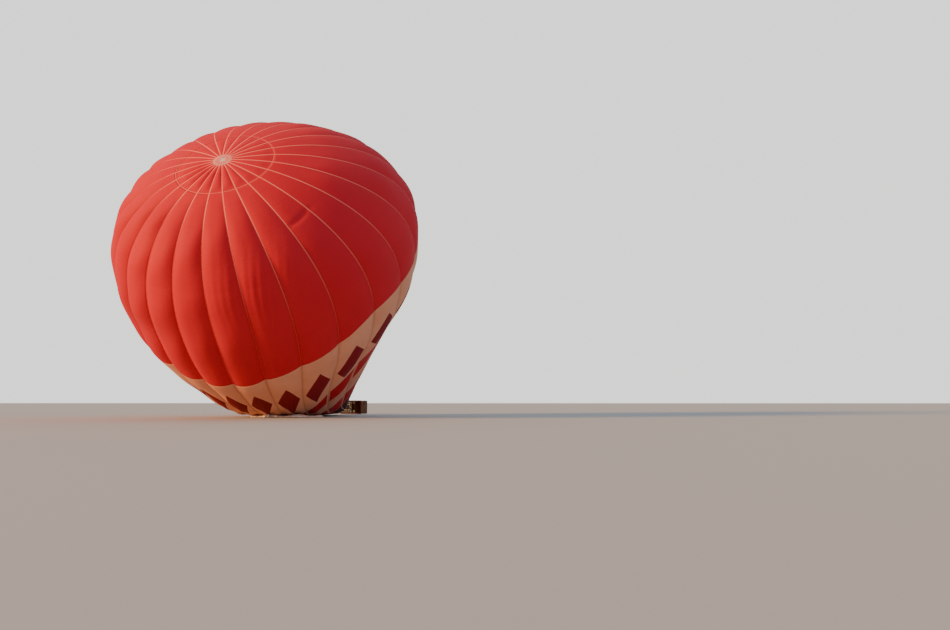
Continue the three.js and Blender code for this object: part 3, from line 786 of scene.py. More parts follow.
def turnedPiece(name, outline, segments, place=(0, 0, 0)):
    # a piece turned round Z from (radius, height) pairs; a radius of 0 closes an end
    outline = np.array(outline, dtype=float)

    def placer(u, v):
        radius, height = outline[np.round(v * (len(outline) - 1)).astype(int)].T
        around = 2 * pi * u
        return np.stack([radius * np.cos(around), radius * np.sin(around), height], -1) + np.array(place)
    return weld(surfaceGrid(name, segments, len(outline) - 1, placer))


def turnedShell(name, outline, segments):
    # a turned wall of one thickness, its outline given round and back
    return turnedPiece(name, [*outline, outline[0]], segments)


def rod(name, start, end, radius, sides=12):
    start, end = Vector(start), Vector(end)
    run = end - start
    bpy.ops.mesh.primitive_cylinder_add(
        vertices=sides, radius=radius, depth=run.length, location=(start + end) / 2,
        rotation=run.to_track_quat("Z", "Y").to_euler())
    bpy.ops.object.transform_apply()
    piece = bpy.context.object
    piece.name = name
    return piece


def block(name, low, high, rounding=0.004, segments=2):
    low, high = Vector(low), Vector(high)
    bpy.ops.mesh.primitive_cube_add(size=1, location=(low + high) / 2, scale=high - low)
    bpy.ops.object.transform_apply()
    piece = bpy.context.object
    piece.name = name
    return applyModifier(piece, "BEVEL", width=rounding, segments=segments)


def makeCrown():
    c = crown
    turns = np.arange(c["points"]) / c["points"] * envelope["gores"]
    _, upperRadius, upperHeight = (row[:envelope["quarterPoints"]] for row in profile)
    drop = upperHeight[0] - np.interp(c["radius"], upperRadius, upperHeight)
    centre = envelopePoint(np.array(0.0), np.array(0.0))
    outward = outwardAt(np.array(0.05), np.array(0.0))
    rim = envelopePoint(np.full(c["points"], c["radius"]), turns) - centre
    rim = unit(rim - np.outer(rim @ outward, outward)) * c["radius"]
    low = centre - outward * (drop + c["drop"] + c["tube"])
    ring = rollAlong("crown_ring_rolled", low + rim, c["tube"], c["sides"], closed=True)
    loops = []
    for i in range(envelope["gores"]):
        spoke = rim[i * c["points"] // envelope["gores"]] / c["radius"]
        beside = np.cross(outward, spoke) * c["loopWidth"] / 2
        reach = c["tube"] + c["loopThickness"]
        path = [low + spoke * (c["radius"] + c["loopReach"]) - outward * reach]
        for a in np.linspace(1.75, 0.25, c["loopSteps"]) * pi:
            path.append(low + spoke * (c["radius"] + reach * cos(a)) + outward * reach * sin(a))
        path = np.array(path)

        def placer(u, v):
            return path[np.round(v * (len(path) - 1)).astype(int)] + np.outer(2 * u - 1, beside)
        loops.append(surfaceGrid(f"loop_{i}", 2, len(path) - 1, placer))
    loops = joinAll(loops, "crown_ring_loops")
    applyModifier(loops, "SOLIDIFY", thickness=c["loopThickness"], offset=0)
    bright = plainFinish(
        "polished aluminium ring", ("#d9dcde", "#c6cacd"), 0.28, 90.0, 0.0005, Metallic=1.0)
    pale = webbing("woven polyester webbing pale", "#cdc6be", "#c0b8b0")
    dress(ring, bright, "root", ["crown_ring"])
    dress(loops, pale, "root", sharp=40)
    patch, area = valveDisc(
        "crown_patch", c["patchRadius"], 144, 8, c["patchOut"], c["patchThickness"])
    dress(patch, pale, "valve")
    print("crown fitted")


makeCrown()

# Basket: it lies on its side. Its pieces are made standing, Z from the floor to the rim, and
# laid down with basketPose.
basket = dict(
    halfLength=1.3, halfWidth=0.675, height=1.15, wall=0.03, corner=0.1, floor=0.018,
    yaw=radians(16), rimCentre=(2.2, 4.2, 0.72), rimRadius=0.042,
    pilotBay=0.76, partitionDrop=0.12, partitionGap=0.004,
)
basketAlong = Vector((cos(basket["yaw"]), -sin(basket["yaw"]), 0))
basketUp = Vector((-sin(basket["yaw"]), -cos(basket["yaw"]), 0))
basketOrigin = (
    Vector(basket["rimCentre"]) - basketUp * basket["height"] - Vector(envelope["liftCentre"]))
basketPose = Matrix.Translation(basketOrigin) @ Matrix((
    basketAlong, Vector((0, 0, 1)), basketUp)).transposed().to_4x4()
wallTop = basket["height"] - basket["rimRadius"]


def layDown(parts, name, material, nodes=(), sharp=None, body="root"):
    # joins the parts of a piece, lays it down with the basket and finishes it
    piece = joinAll(parts, name)
    piece.data.transform(basketPose)
    return dress(piece, material, body, nodes, sharp)


def roundedPath(halfLength, halfWidth, corner, count):
    # points evenly spaced round a rectangle with round corners, and the normals there
    x, y = halfLength - corner, halfWidth - corner
    points, normals = [], []
    for middle, start in (((x, y), 0), ((-x, y), 90), ((-x, -y), 180), ((x, -y), 270)):
        for a in np.radians(np.linspace(start, start + 90, 13)):
            normals.append((cos(a), sin(a)))
            points.append(np.array(middle) + corner * np.array(normals[-1]))
    points, normals = np.array(points + points[:1]), np.array(normals + normals[:1])
    way = np.concatenate([[0], np.cumsum(np.linalg.norm(np.diff(points, axis=0), axis=1))])
    marks = np.linspace(0, way[-1], count, endpoint=False)
    points, normals = (
        np.stack([np.interp(marks, way, rows[:, i]) for i in (0, 1)], -1) for rows in (points, normals))
    return points, unit(normals), marks, way[-1]


# Wicker: willow strands woven over and under upright stakes
wicker = dict(
    strand=0.0315, stake=0.09, swing=0.0078, round=0.0062, half=0.002, perStake=4, perStrand=3,
    bottom=0.02, around=7.6, partitionFlat=0.6, rod=0.7, stagger=0.29,
)


def weaveOffset(way, height):
    # how far the weave swings from its middle, and half its thickness
    w = wicker
    row = np.floor(height / w["strand"] + 1e-6)
    inRow = height / w["strand"] - row
    swing = w["swing"] * np.cos(pi * way / w["stake"] + pi * row)
    rounding = np.sqrt(np.clip(1 - (2 * inRow - 1) ** 2, 0, 1))
    return swing * rounding, w["round"] * rounding + w["half"]


def willow():
    # peeled and buffed willow: each strand its own brown, a soft shine and fine grain along it
    w = wicker
    material, tree, shader = newMaterial("buffed willow", Roughness=0.55, IOR=1.5)
    marks = addNode(tree, "ShaderNodeAttribute", attribute_name="weavePlace").outputs["Vector"]
    parts = addNode(tree, "ShaderNodeSeparateXYZ", {0: marks}).outputs
    row = addNode(tree, "ShaderNodeMath", {0: parts["Y"], 1: w["strand"]}, operation="DIVIDE")
    level = addNode(tree, "ShaderNodeMath", {0: row}, operation="FLOOR")
    stagger = addNode(
        tree, "ShaderNodeMath", {0: level, 1: w["stagger"], 2: parts["X"]}, operation="MULTIPLY_ADD")
    strip = addNode(tree, "ShaderNodeMath", {0: stagger, 1: w["rod"]}, operation="DIVIDE")
    piece = addNode(tree, "ShaderNodeMath", {0: strip}, operation="FLOOR")
    cell = addNode(tree, "ShaderNodeCombineXYZ", {"X": piece, "Y": level})
    tint = addNode(tree, "ShaderNodeTexWhiteNoise", {"Vector": cell})
    grainWay = addNode(tree, "ShaderNodeMapping", {"Vector": marks, "Scale": (6, 260, 1)})
    grain = addNode(tree, "ShaderNodeTexNoise", {"Vector": grainWay, "Scale": 1.0, "Detail": 3.0})
    base = addNode(
        tree, "ShaderNodeMix", {"Factor": tint, "A": "#6f3a1c", "B": "#b27a44"}, data_type="RGBA")
    shade = addNode(tree, "ShaderNodeMix", {"Factor": grain, "A": "#4a2612", "B": base}, data_type="RGBA")
    # each row is three thin rods laid side by side, with painted shade darkening the groove between them
    rods = addNode(tree, "ShaderNodeMath", {0: row, 1: 3 * pi}, operation="MULTIPLY")
    wave = addNode(tree, "ShaderNodeMath", {0: rods}, operation="SINE")
    rounded = addNode(tree, "ShaderNodeMath", {0: wave}, operation="ABSOLUTE")
    grooveShade = addNode(tree, "ShaderNodeMapRange", {
        "Value": rounded, "From Max": 0.35, "To Min": 0.45, "To Max": 1.0})
    colour = addNode(
        tree, "ShaderNodeMix", {"Factor": grooveShade, "A": "#2c170b", "B": shade}, data_type="RGBA")
    relief = addNode(tree, "ShaderNodeBump", {"Height": rounded, "Strength": 0.8, "Distance": 0.004})
    bump = addNode(tree, "ShaderNodeBump", {
        "Height": grain, "Strength": 0.25, "Distance": 0.001, "Normal": relief})
    setInputs(shader, {"Base Color": colour, "Normal": bump})
    return material


def makeWalls(material):
    # one closed woven ring: up the outer face, over the top, down the inner face
    b, w = basket, wicker
    rows = int(round((wallTop - w["bottom"]) / w["strand"])) * w["perStrand"]
    count = int(round(w["around"] / w["stake"])) * w["perStake"]
    points, normals, marks, length = roundedPath(
        b["halfLength"] - b["wall"] / 2, b["halfWidth"] - b["wall"] / 2, b["corner"], count)
    # an even number of stakes, so that the weave closes
    scale = w["stake"] * 2 * round(length / w["stake"] / 2) / length
    sides = 2 * rows + 2
    piece, i, minor = ringGrid("wicker_walls", count, sides)
    # k counts from the lowest outer row, up, over and down again
    k = np.round((minor / (2 * pi) + 0.25) % 1 * sides).astype(int) % sides
    outer = k <= rows
    level = np.where(outer, k, sides - 1 - k) * w["strand"] / w["perStrand"]
    swing, half = weaveOffset(marks[i] * scale, level)
    out = np.where(outer, swing + half, swing - half)
    writePlaces(piece, np.stack([*(points[i] + normals[i] * out[:, None]).T, level + w["bottom"]], -1))
    writeMarks(piece, "weavePlace", [marks[i], level, 0.0])
    walls = [f"basket_wall_{side}" for side in ("low", "high", "left", "right")]
    layDown([weld(piece, 1e-7)], "wicker_walls", material, walls)


def makePartitions(material):
    # two woven sheets face to face, joined round their edges
    b, w = basket, wicker
    halfWidth = b["halfWidth"] - b["wall"] - b["partitionGap"]
    top = wallTop - b["partitionDrop"]
    columns = int(round(2 * halfWidth / w["stake"])) * w["perStake"]
    rows = int((top - w["bottom"]) / w["strand"]) * w["perStrand"]
    for name, side in (("left", -1), ("right", 1)):
        faces = []
        for face in (1, -1):
            sheet, u, v = flatGrid("partition_face", columns, rows)
            way, level = u * 2 * halfWidth, v * rows * w["strand"] / w["perStrand"]
            swing, half = weaveOffset(way, level)
            out = w["partitionFlat"] * (swing + face * half)
            writePlaces(sheet, np.stack([
                side * b["pilotBay"] / 2 + out, way - halfWidth, level + w["bottom"]], -1))
            writeMarks(sheet, "weavePlace", [way, level, 0.0])
            faces.append(sheet)
        piece = joinAll(faces, f"wicker_partition_{name}")
        chosen([piece])
        bpy.ops.object.mode_set(mode="EDIT")
        bpy.ops.mesh.select_all(action="DESELECT")
        bpy.ops.mesh.select_mode(type="EDGE")
        bpy.ops.mesh.select_non_manifold(
            extend=False, use_wire=False, use_boundary=True, use_multi_face=False,
            use_non_contiguous=False, use_verts=False)
        bpy.ops.mesh.bridge_edge_loops()
        bpy.ops.mesh.select_all(action="SELECT")
        bpy.ops.mesh.normals_make_consistent(inside=False)
        bpy.ops.object.mode_set(mode="OBJECT")
        layDown([piece], piece.name, material, [f"partition_{name}"])


# Rim: suede laced round a foam roll
rim = dict(
    around=384, sides=20, lacing=0.085, pinch=0.0035, skin=0.001, seat=0.0004, laceRadius=0.0035,
    laceSpots=((0.036, -0.012), (0.0335, -0.03), (0.024, -0.046), (0.019, -0.062)),  # out and up
)


def makeRim(suede, thong):
    b, r = basket, rim
    outline = (b["halfLength"] - b["wall"] / 2, b["halfWidth"] - b["wall"] / 2, b["corner"])
    points, normals, marks, length = roundedPath(*outline, r["around"])
    laces = round(length / r["lacing"])
    piece, i, minor = ringGrid("rim_roll", r["around"], r["sides"])
    pinch = np.cos(2 * pi * marks[i] * laces / length) * np.clip(-np.sin(minor) + 0.4, 0, 1)
    size = b["rimRadius"] - r["skin"] + r["pinch"] * (pinch - 1)
    out, up = size * np.cos(minor), size * np.sin(minor)
    writePlaces(piece, np.stack([
        *(points[i] + normals[i] * out[:, None]).T, b["height"] + r["seat"] + up], -1))
    layDown([piece], "rim_roll", suede, ["basket_rim"])
    points, normals, _, _ = roundedPath(*outline, laces)
    laces = []
    for point, normal in zip(points, normals):
        path = [(*(point + normal * out), b["height"] + up) for out, up in r["laceSpots"]]
        laces.append(cappedRoll("lace", path, r["laceRadius"], 6))
    layDown(laces, "rim_lacing", thong, sharp=50)


# Rawhide edge round the foot of the walls, floor board and runners
foot = dict(
    height=0.14, thickness=0.004, out=0.002, cornerMore=0.015, around=336, wave=0.003, waveLength=0.24,
    sunk=0.0015, flare=0.002, lift=0.004, edgeWave=0.006, edgeWaves=9, edgeSteps=8,
    stitchEvery=6, stitchHalf=0.016, stitchRadius=0.003, stitchEnd=0.0005, stitchDrop=0.03,
    stitchOut=0.004, stitchBow=0.002,
    runnerHeight=0.04, runnerWidth=0.07, inset=0.06, boardCorner=0.012,
)


def makeFoot(hide, thong):
    b, f = basket, foot
    points, normals, marks, _ = roundedPath(
        b["halfLength"] + f["out"], b["halfWidth"] + f["out"], b["corner"] + f["cornerMore"], f["around"])

    def placer(u, v):
        i = np.round(u * f["around"]).astype(int) % f["around"]
        out = f["wave"] * np.sin(2 * pi * marks[i] / f["waveLength"]) * v
        out = out - f["sunk"] + f["flare"] * (1 - v)
        level = f["lift"] + f["height"] * v + f["edgeWave"] * v * np.sin(marks[i] * f["edgeWaves"])
        return np.stack([*(points[i] + normals[i] * out[:, None]).T, level], -1)
    edge = weld(surfaceGrid("rawhide_edge", f["around"], f["edgeSteps"], placer))
    applyModifier(edge, "SOLIDIFY", thickness=f["thickness"], offset=-1)
    layDown([edge], "rawhide_edge", hide)
    stitches = []
    for k in range(0, f["around"], f["stitchEvery"]):
        at = points[k] + normals[k] * f["stitchOut"]
        run = np.array([-normals[k][1], normals[k][0]]) * f["stitchHalf"]
        spots = (at - run, at + normals[k] * f["stitchBow"], at + run)
        path = [(*spot, f["height"] - f["stitchDrop"]) for spot in spots]
        radii = [f["stitchEnd"], f["stitchRadius"], f["stitchEnd"]]
        stitches.append(rollAlong("stitch", path, radii, 6))
    layDown(stitches, "rawhide_stitches", thong)


def plywood():
    # birch plywood with clear varnish: pale, with long grain along the board and scuffs
    material, tree, shader = newMaterial("varnished birch plywood", Roughness=0.45, Coat_Weight=0.2)
    place = addNode(tree, "ShaderNodeTexCoord").outputs["Object"]
    turned = addNode(tree, "ShaderNodeMapping", {"Vector": place, "Rotation": (0, 0, basket["yaw"])})
    drawn = addNode(tree, "ShaderNodeMapping", {"Vector": turned, "Scale": (1.2, 30, 30)})
    grain = addNode(tree, "ShaderNodeTexNoise", {
        "Vector": drawn, "Scale": 1.0, "Detail": 6.0, "Distortion": 0.4})
    setInputs(shader, {
        "Base Color": addNode(
            tree, "ShaderNodeMix", {"Factor": grain, "A": "#7d5a35", "B": "#c9a26c"}, data_type="RGBA"),
        "Normal": addNode(tree, "ShaderNodeBump", {"Height": grain, "Strength": 0.2, "Distance": 0.001})})
    return material


def makeFloor(material):
    b, f = basket, foot
    bpy.ops.mesh.primitive_cube_add(size=1, location=(0, 0, b["floor"] / 2), scale=(
        2 * b["halfLength"], 2 * b["halfWidth"], b["floor"]))
    bpy.ops.object.transform_apply()
    board = bpy.context.object
    # the four upright edges are rounded to the corners of the walls
    bpy.ops.object.mode_set(mode="EDIT")
    bpy.ops.mesh.select_mode(type="EDGE")
    bpy.ops.mesh.select_all(action="DESELECT")
    shape = bmesh.from_edit_mesh(board.data)
    for edge in shape.edges:
        run = edge.verts[0].co - edge.verts[1].co
        edge.select_set(abs(run.z) > 0.9 * run.length)
    bmesh.update_edit_mesh(board.data)
    bpy.ops.mesh.bevel(offset=b["corner"] + f["boardCorner"], segments=10)
    bpy.ops.object.mode_set(mode="OBJECT")
    applyModifier(board, "BEVEL", width=0.004, segments=2)
    x, half, side = b["halfLength"] - f["inset"], f["runnerWidth"] / 2, b["halfWidth"] - f["runnerWidth"]
    runners = [
        block("runner", (-x, y - half, -f["runnerHeight"]), (x, y + half, b["floor"] / 2), 0.012, 3)
        for y in (-side, 0, side)
    ]
    layDown([board, *runners], "basket_floor_board", material, ["basket_floor"], 30)


# Carrying handles of flat webbing, two on each end and two on the upper long side
handles = dict(
    width=0.045, length=0.24, thickness=0.004, bow=0.028, bowShare=0.72, off=0.003, level=0.62,
    endSpot=0.33, sideSpot=0.75,
)


def flatStrap(name, path, wide, thickness):
    # a flat strap through points, its width along one direction
    path = np.array(path, dtype=float)

    def placer(u, v):
        i = v * (len(path) - 1)
        places = np.stack([np.interp(i, np.arange(len(path)), column) for column in path.T], -1)
        return places + np.outer(2 * u - 1, np.array(wide) / 2)
    strap = surfaceGrid(name, 2, (len(path) - 1) * 3, placer)
    return applyModifier(strap, "SOLIDIFY", thickness=thickness, offset=0)


def makeHandles(material):
    b, h = basket, handles
    straps = []
    for side in (-1, 1):
        for middle, run, out in (
                ((b["halfLength"], side * h["endSpot"]), (0, 1), (1, 0)),
                ((-b["halfLength"], side * h["endSpot"]), (0, 1), (-1, 0)),
                ((side * h["sideSpot"], b["halfWidth"]), (1, 0), (0, 1))):
            path = []
            for share in np.linspace(-1, 1, 13):
                bow = h["bow"] * max(0.0, 1 - (share / h["bowShare"]) ** 2) ** 0.6 + h["off"]
                spot = np.array(middle) + np.array(run) * share * h["length"] / 2 + np.array(out) * bow
                path.append((*spot, h["level"]))
            straps.append(flatStrap("handle", path, (0, 0, h["width"]), h["thickness"]))
    layDown(straps, "carrying_handles", material, sharp=45)


suede = plainFinish(
    "maroon suede leather", ("#5e1a1c", "#7a2a26"), 0.9, 60.0, 0.0015, Sheen_Weight=0.35)
thong = plainFinish("waxed leather thong", ("#2e1510", "#4a2418"), 0.6, 90.0, 0.0008)
hide = plainFinish("tanned rawhide", ("#5a3018", "#7d4a26"), 0.55, 35.0, 0.0015)
blackWebbing = plainFinish("black polyester webbing", ("#17171a", "#26262a"), 0.8, 240.0, 0.0008)
willowFinish = willow()
makeWalls(willowFinish)
makePartitions(willowFinish)
makeRim(suede, thong)
makeFoot(hide, thong)
makeFloor(plywood())
makeHandles(blackWebbing)
print("basket woven")

# Fuel cylinders: stainless steel, one in each corner, strapped upright. Outlines are pairs of
# radius and height above the foot or, where they start from the top, below it.
cylinder = dict(
    centres=((-0.2176, -0.4946), (0.2176, -0.4946), (-0.2176, 0.4946), (0.2176, 0.4946)),
    radius=0.15, foot=0.129, collar=0.1105, base=0.0186, height=0.858, bead=0.0015,
    footDome=(0.1, 0.07), headDome=(0.2, 0.115), domeTip=0.001, beads=(0.11, 0.22),
    beadReach=(0.006, 0.003), straps=(0.24, 0.62), strapWidth=0.05, strapThickness=0.0032,
    strapSeat=0.0002, strapEdge=0.001, buckle=(0.03, 0.006, 0.009, 0.004),
    handHole=(0.13, 0.05, 0.055), handHoleLevels=(-0.075, -0.028), valveSpot=0.06, outletDrop=0.078,
    outlet=(("valve_outlet", 0, 0.045, 0.011, 12), ("outlet_nut", 0.03, 0.052, 0.0145, 6)),
    footRing=(
        (-0.003, 0), (0, 0), (0, 0.004), (-0.006, 0.03), (-0.006, 0.06), (-0.009, 0.06), (-0.009, 0.02)),
    collarRing=(
        (-0.013, -0.115), (-0.009, -0.115), (-0.002, -0.006), (0, 0), (-0.006, 0.0012), (-0.006, -0.006)),
    gaugeStem=((0, -0.1), (0.016, -0.1), (0.016, -0.065), (0, -0.065)),
    gaugeDial=((0, -0.066), (0.026, -0.066), (0.027, -0.05), (0.022, -0.047), (0, -0.047)),
    valveStem=(
        (0, -0.1), (0.015, -0.1), (0.015, -0.07), (0.011, -0.066), (0.011, -0.05), (0.007, -0.048),
        (0.007, -0.03), (0, -0.03)),
    handWheel=(
        (0, -0.028), (0.012, -0.03), (0.024, -0.026), (0.027, -0.02), (0.024, -0.014), (0.01, -0.012),
        (0, -0.012)),
)


def shifted(outline, radius, level):
    return [(radius + r, level + h) for r, h in outline]


def copyOf(piece, name, shift):
    # a copy with its own mesh
    twin = piece.copy()
    twin.data = piece.data.copy()
    twin.name = name
    bpy.context.scene.collection.objects.link(twin)
    twin.data.transform(Matrix.Translation(shift))
    return twin


def cutAway(piece, cutter):
    applyModifier(piece, "BOOLEAN", object=cutter, operation="DIFFERENCE", solver="EXACT")
    bpy.data.objects.remove(cutter)


def cylinderParts():
    c = cylinder
    z, top, bead = c["base"], c["base"] + c["height"], c["bead"]
    r = c["radius"] - bead
    # domed foot, two beads round the shell and a domed head
    rise, dome = c["footDome"]
    body = [(0, z + rise - dome)]
    body += [(r * sin(a), z + rise - dome * cos(a)) for a in np.linspace(0.15, pi / 2, 9)]
    far, near = c["beadReach"]
    for level in (z + c["beads"][0], top - c["beads"][1]):
        body += [(r, level - far), (r + bead, level - near), (r + bead, level + near), (r, level + far)]
    drop, dome = c["headDome"]
    body += [(r * cos(a), top - drop + dome * sin(a)) for a in np.linspace(0, 1.4, 11)]
    body += [(0, top - drop + dome + c["domeTip"])]
    collar = turnedShell("collar", shifted(c["collarRing"], c["collar"], top), 40)
    # two hand holes through the collar
    middle, wide, deep = c["handHole"]
    low, high = (top + level for level in c["handHoleLevels"])
    for x in (-middle, middle):
        cutAway(collar, block("hole", (x - wide, -deep, low), (x + wide, deep, high), 0.016, 4))
    steel = [
        turnedShell("foot_ring", shifted(c["footRing"], c["foot"], z), 40),
        turnedPiece("shell", body, 48), collar]
    brass = [turnedPiece("gauge_stem", shifted(c["gaugeStem"], 0, top), 16)]
    wheels = [turnedPiece("gauge_dial", shifted(c["gaugeDial"], 0, top), 24)]
    level = top - c["outletDrop"]
    for x in (-c["valveSpot"], c["valveSpot"]):
        brass.append(turnedPiece("valve_stem", shifted(c["valveStem"], 0, top), 14, (x, 0, 0)))
        for name, start, end, radius, sides in c["outlet"]:
            brass.append(rod(name, (x, start, level), (x, end, level), radius, sides))
        wheels.append(turnedPiece("hand_wheel", shifted(c["handWheel"], 0, top), 20, (x, 0, 0)))
    straps = []
    inner, outer, edge = r + c["strapSeat"], r + c["strapThickness"], c["strapEdge"]
    wide, deep, proud, more = c["buckle"]
    for level in c["straps"]:
        low, high = level - c["strapWidth"] / 2, level + c["strapWidth"] / 2
        straps.append(turnedShell("strap", [
            (inner, low), (outer, low + edge), (outer, high - edge), (inner, high)], 56))
        straps.append(block("buckle", (-wide, r - deep, low - more), (wide, r + proud, high + more)))
    return steel, brass, wheels, straps


def makeCylinders(steel, brass, knob, strap):
    names = ("cylinder_shell", "cylinder_valves", "cylinder_hand_wheels", "cylinder_straps")
    finishes = ((steel, "steel"), (brass, "steel"), (knob, "leather"), (strap, "leather"))
    shapes = [joinAll(parts, name) for name, parts in zip(names, cylinderParts())]
    for n, (x, y) in enumerate(cylinder["centres"], 1):
        for shape, name, (material, slot) in zip(shapes, names, finishes):
            nodes = [f"fuel_cylinder_{n}"] if name == "cylinder_shell" else []
            layDown([copyOf(shape, name, (x, y, 0))], f"{name}_{n}", material, nodes, 35)
    for shape in shapes:
        bpy.data.objects.remove(shape)


# Load frame of stainless tube with a lug at each corner and a bearing block on each side
loadFrame = dict(
    x=0.65, y=0.475, z=2.1, tube=0.02, corner=0.045, lug=0.034, lugLow=2.04, lugHigh=2.15, lugWaist=0.008,
    sleeve=(0.08, 0.055), block=(0.026, 0.032, 0.032), split=0.0006, bolt=0.021,
    boltParts=(("bolt_head", 0.007, 0.0075, 6), ("washer", 0.0025, 0.0095, 16)),
)
corners = [(-1, -1), (1, -1), (1, 1), (-1, 1)]


def makeLoadFrame(steel, alloy):
    f = loadFrame
    z, low, high, r = f["z"], f["lugLow"], f["lugHigh"], f["lug"]
    points = roundedPath(f["x"], f["y"], f["corner"], 160)[0]
    parts = [rollAlong("frame_tube", [(*p, z) for p in points], f["tube"], 16, closed=True)]
    half = [(0, 0), (r - 0.006, 0), (r, 0.006), (r, 0.03), (r - f["lugWaist"], 0.036)]
    lug = [(a, low + h) for a, h in half] + [(a, high - h) for a, h in reversed(half)]
    for x, y in corners:
        parts.append(turnedPiece("lug", lug, 28, (x * f["x"], y * f["y"], 0)))
        start, end = ((x * (f["x"] - back), y * f["y"], z) for back in f["sleeve"])
        parts.append(rod("weld_sleeve", start, end, f["tube"] + 0.003, 20))
    layDown(parts, "load_frame_tube", steel, ["load_frame"], 40)
    blocks = []
    hx, hy, hz = f["block"]
    top = z + hz - 0.001
    for x in (-f["x"], f["x"]):
        for low, high in ((z - hz, z - f["split"]), (z + f["split"], z + hz)):
            blocks.append(block("bearing_half", (x - hx, -hy, low), (x + hx, hy, high), 0.005, 3))
        for y in (-f["bolt"], f["bolt"]):
            for name, height, radius, sides in f["boltParts"]:
                blocks.append(rod(name, (x, y, top), (x, y, top + height), radius, sides))
    layDown(blocks, "frame_bearings", alloy, sharp=35)


# Uprights: nylon rods and fuel hoses in padded leather sleeves, laced along the inner side
upright = dict(
    foot=(1.04, 0.66, 1.1924), head=(0.65, 0.475, 2.04), radius=0.0315, steps=64, sides=20,
    ends=0.03, endRadius=0.35, bulge=0.018, bulges=(70, 23), ties=(0.08, 0.92), tieWidth=0.008,
    tieDepth=0.1, lace=0.0022, laceHalf=0.009, laceSlant=0.005, laceOut=0.0028, laceIn=0.93,
    laced=(3, 60, 2),
)


def makeUprights(leather, thong):
    u = upright
    share = np.linspace(0, 1, u["steps"])
    ends = np.clip(np.minimum(share, 1 - share) / u["ends"], 0, 1) ** 0.5
    many, few = u["bulges"]
    tied = 1 - sum(u["tieDepth"] * np.exp(-((share - tie) / u["tieWidth"]) ** 2) for tie in u["ties"])
    for x, y in corners:
        name = ("low" if y < 0 else "high") + ("_left" if x < 0 else "_right")
        start, end = np.array(u["foot"]) * (x, y, 1), np.array(u["head"]) * (x, y, 1)
        waves = 1 - u["bulge"] * (1 + np.sin(share * many + x + 2 * y) * np.sin(share * few))
        radii = u["radius"] * (u["endRadius"] + (1 - u["endRadius"]) * ends) * tied * waves
        radii[0] = radii[-1] = 0
        path = start + np.outer(share, end - start)
        sleeve = rollAlong("sleeve", path, radii, u["sides"])
        layDown([sleeve], f"upright_sleeve_{name}", leather, [f"upright_{name}"])
        run = unit(end - start)
        inward = unit(np.array([-x, 0, 0]) + run * run[0] * x)
        slant = np.cross(run, inward) * u["laceHalf"] + run * u["laceSlant"]
        laces = []
        for k in range(*u["laced"]):
            centre = path[k] + inward * (u["radius"] * u["laceIn"])
            lace = [centre - slant, centre + inward * u["laceOut"], centre + slant]
            laces.append(cappedRoll("lace", lace, u["lace"], 5))
        layDown(laces, f"sleeve_lacing_{name}", thong, sharp=60)


# Gimbal yoke between the frame's bearings: each rod is name, from, to, radius and sides
yoke = dict(
    x=0.48, y=0.28, bend=0.03, tube=0.015, corner=0.018,
    sideRods=(("yoke_pin", 0.485, 0.6236, 0.0108, 20), ("pin_collar", 0.492, 0.514, 0.021, 24)),
    boss=("pin_boss", 0.2655, 0.299, 0.019, 24),
)


def makeYoke(steel):
    k, z = yoke, loadFrame["z"]
    points = roundedPath(k["x"], k["y"], k["bend"], 128)[0]
    parts = [rollAlong("yoke_tube", [(*p, z) for p in points], k["tube"], 14, closed=True)]
    half = Vector((k["corner"],) * 3)
    for x, y in corners:
        centre = Vector((x * k["x"], y * k["y"], z))
        parts.append(block("corner_block", centre - half, centre + half, 0.005, 3))
    for side in (-1, 1):
        for name, start, end, radius, sides in k["sideRods"]:
            parts.append(rod(name, (side * start, 0, z), (side * end, 0, z), radius, sides))
        name, start, end, radius, sides = k["boss"]
        parts.append(rod(name, (0, side * start, z), (0, side * end, z), radius, sides))
    layDown(parts, "gimbal_yoke", steel, ["burner_yoke"], 40, "yoke")


# Burners: two double coils over one valve block
burner = dict(
    spread=0.175, coilOuter=0.1362, coilInner=0.1164, tube=0.0082, low=2.15, turns=10, pitch=0.0272,
    perTurn=28, blockLow=1.9505, blockHigh=2.09, canRadius=0.112, jetRing=0.083, jets=24, tieBars=6,
    jet=((0, 0), (0.005, 0), (0.0045, 0.008), (0.0022, 0.012), (0, 0.012)),
    gauge=((0, 0), (0.022, 0), (0.024, 0.003), (0.024, 0.011), (0.021, 0.012), (0.0205, 0.0095), (0, 0.0095)),
    dial=((0, 0), (0.0205, 0), (0.0205, 0.0004), (0, 0.0004)),
    arm=((0.03, 2.075), (0.04, 2.08), (0.09, 2.087), (0.14, 2.094), (0.19, 2.1), (0.2, 2.1), (0.2, 2.1)),
    armRadii=(0, 0.016, 0.016, 0.016, 0.0158, 0.0158, 0), armPin=(0.184, 0.2644, 2.1, 0.0108),
    feedDrops=(0.055, 0.02), outletBack=0.02, outletDrop=0.05, tieTop=0.012, tieTurn=0.35, tieRadius=0.003,
    ribs=9, ribReach=0.04, ribHalf=(0.004, 0.05), ribInset=(0.02, 0.012),
    lever=((0, 1.96), (-0.17, 1.91)), leverShares=(0, 0.3, 0.36, 0.9, 1),
    leverRadii=(0.006, 0.006, 0.0115, 0.0118, 0.009),
    sideFittings=(
        # name, shift outwards, start, end, radius, sides
        ("lever_boss", 0, (-0.03, 1.951), (0.03, 1.963), 0.014, 18),
        ("hose_tail", 0.03, (0.05, 2.0), (0.0545, 2.0), 0.018, 20)),
    gaugeIn=0.05, gaugePlace=(-0.0425, 2.03), dialPlace=(-0.0523, 2.03),
    crossValve=((0, -0.052, 2.0), (0, -0.04, 2.0), 0.02, 20),
    crossLever=((-0.035, -0.0545, 1.994), (0.035, -0.0525, 2.006), 0.0009, 2),
)


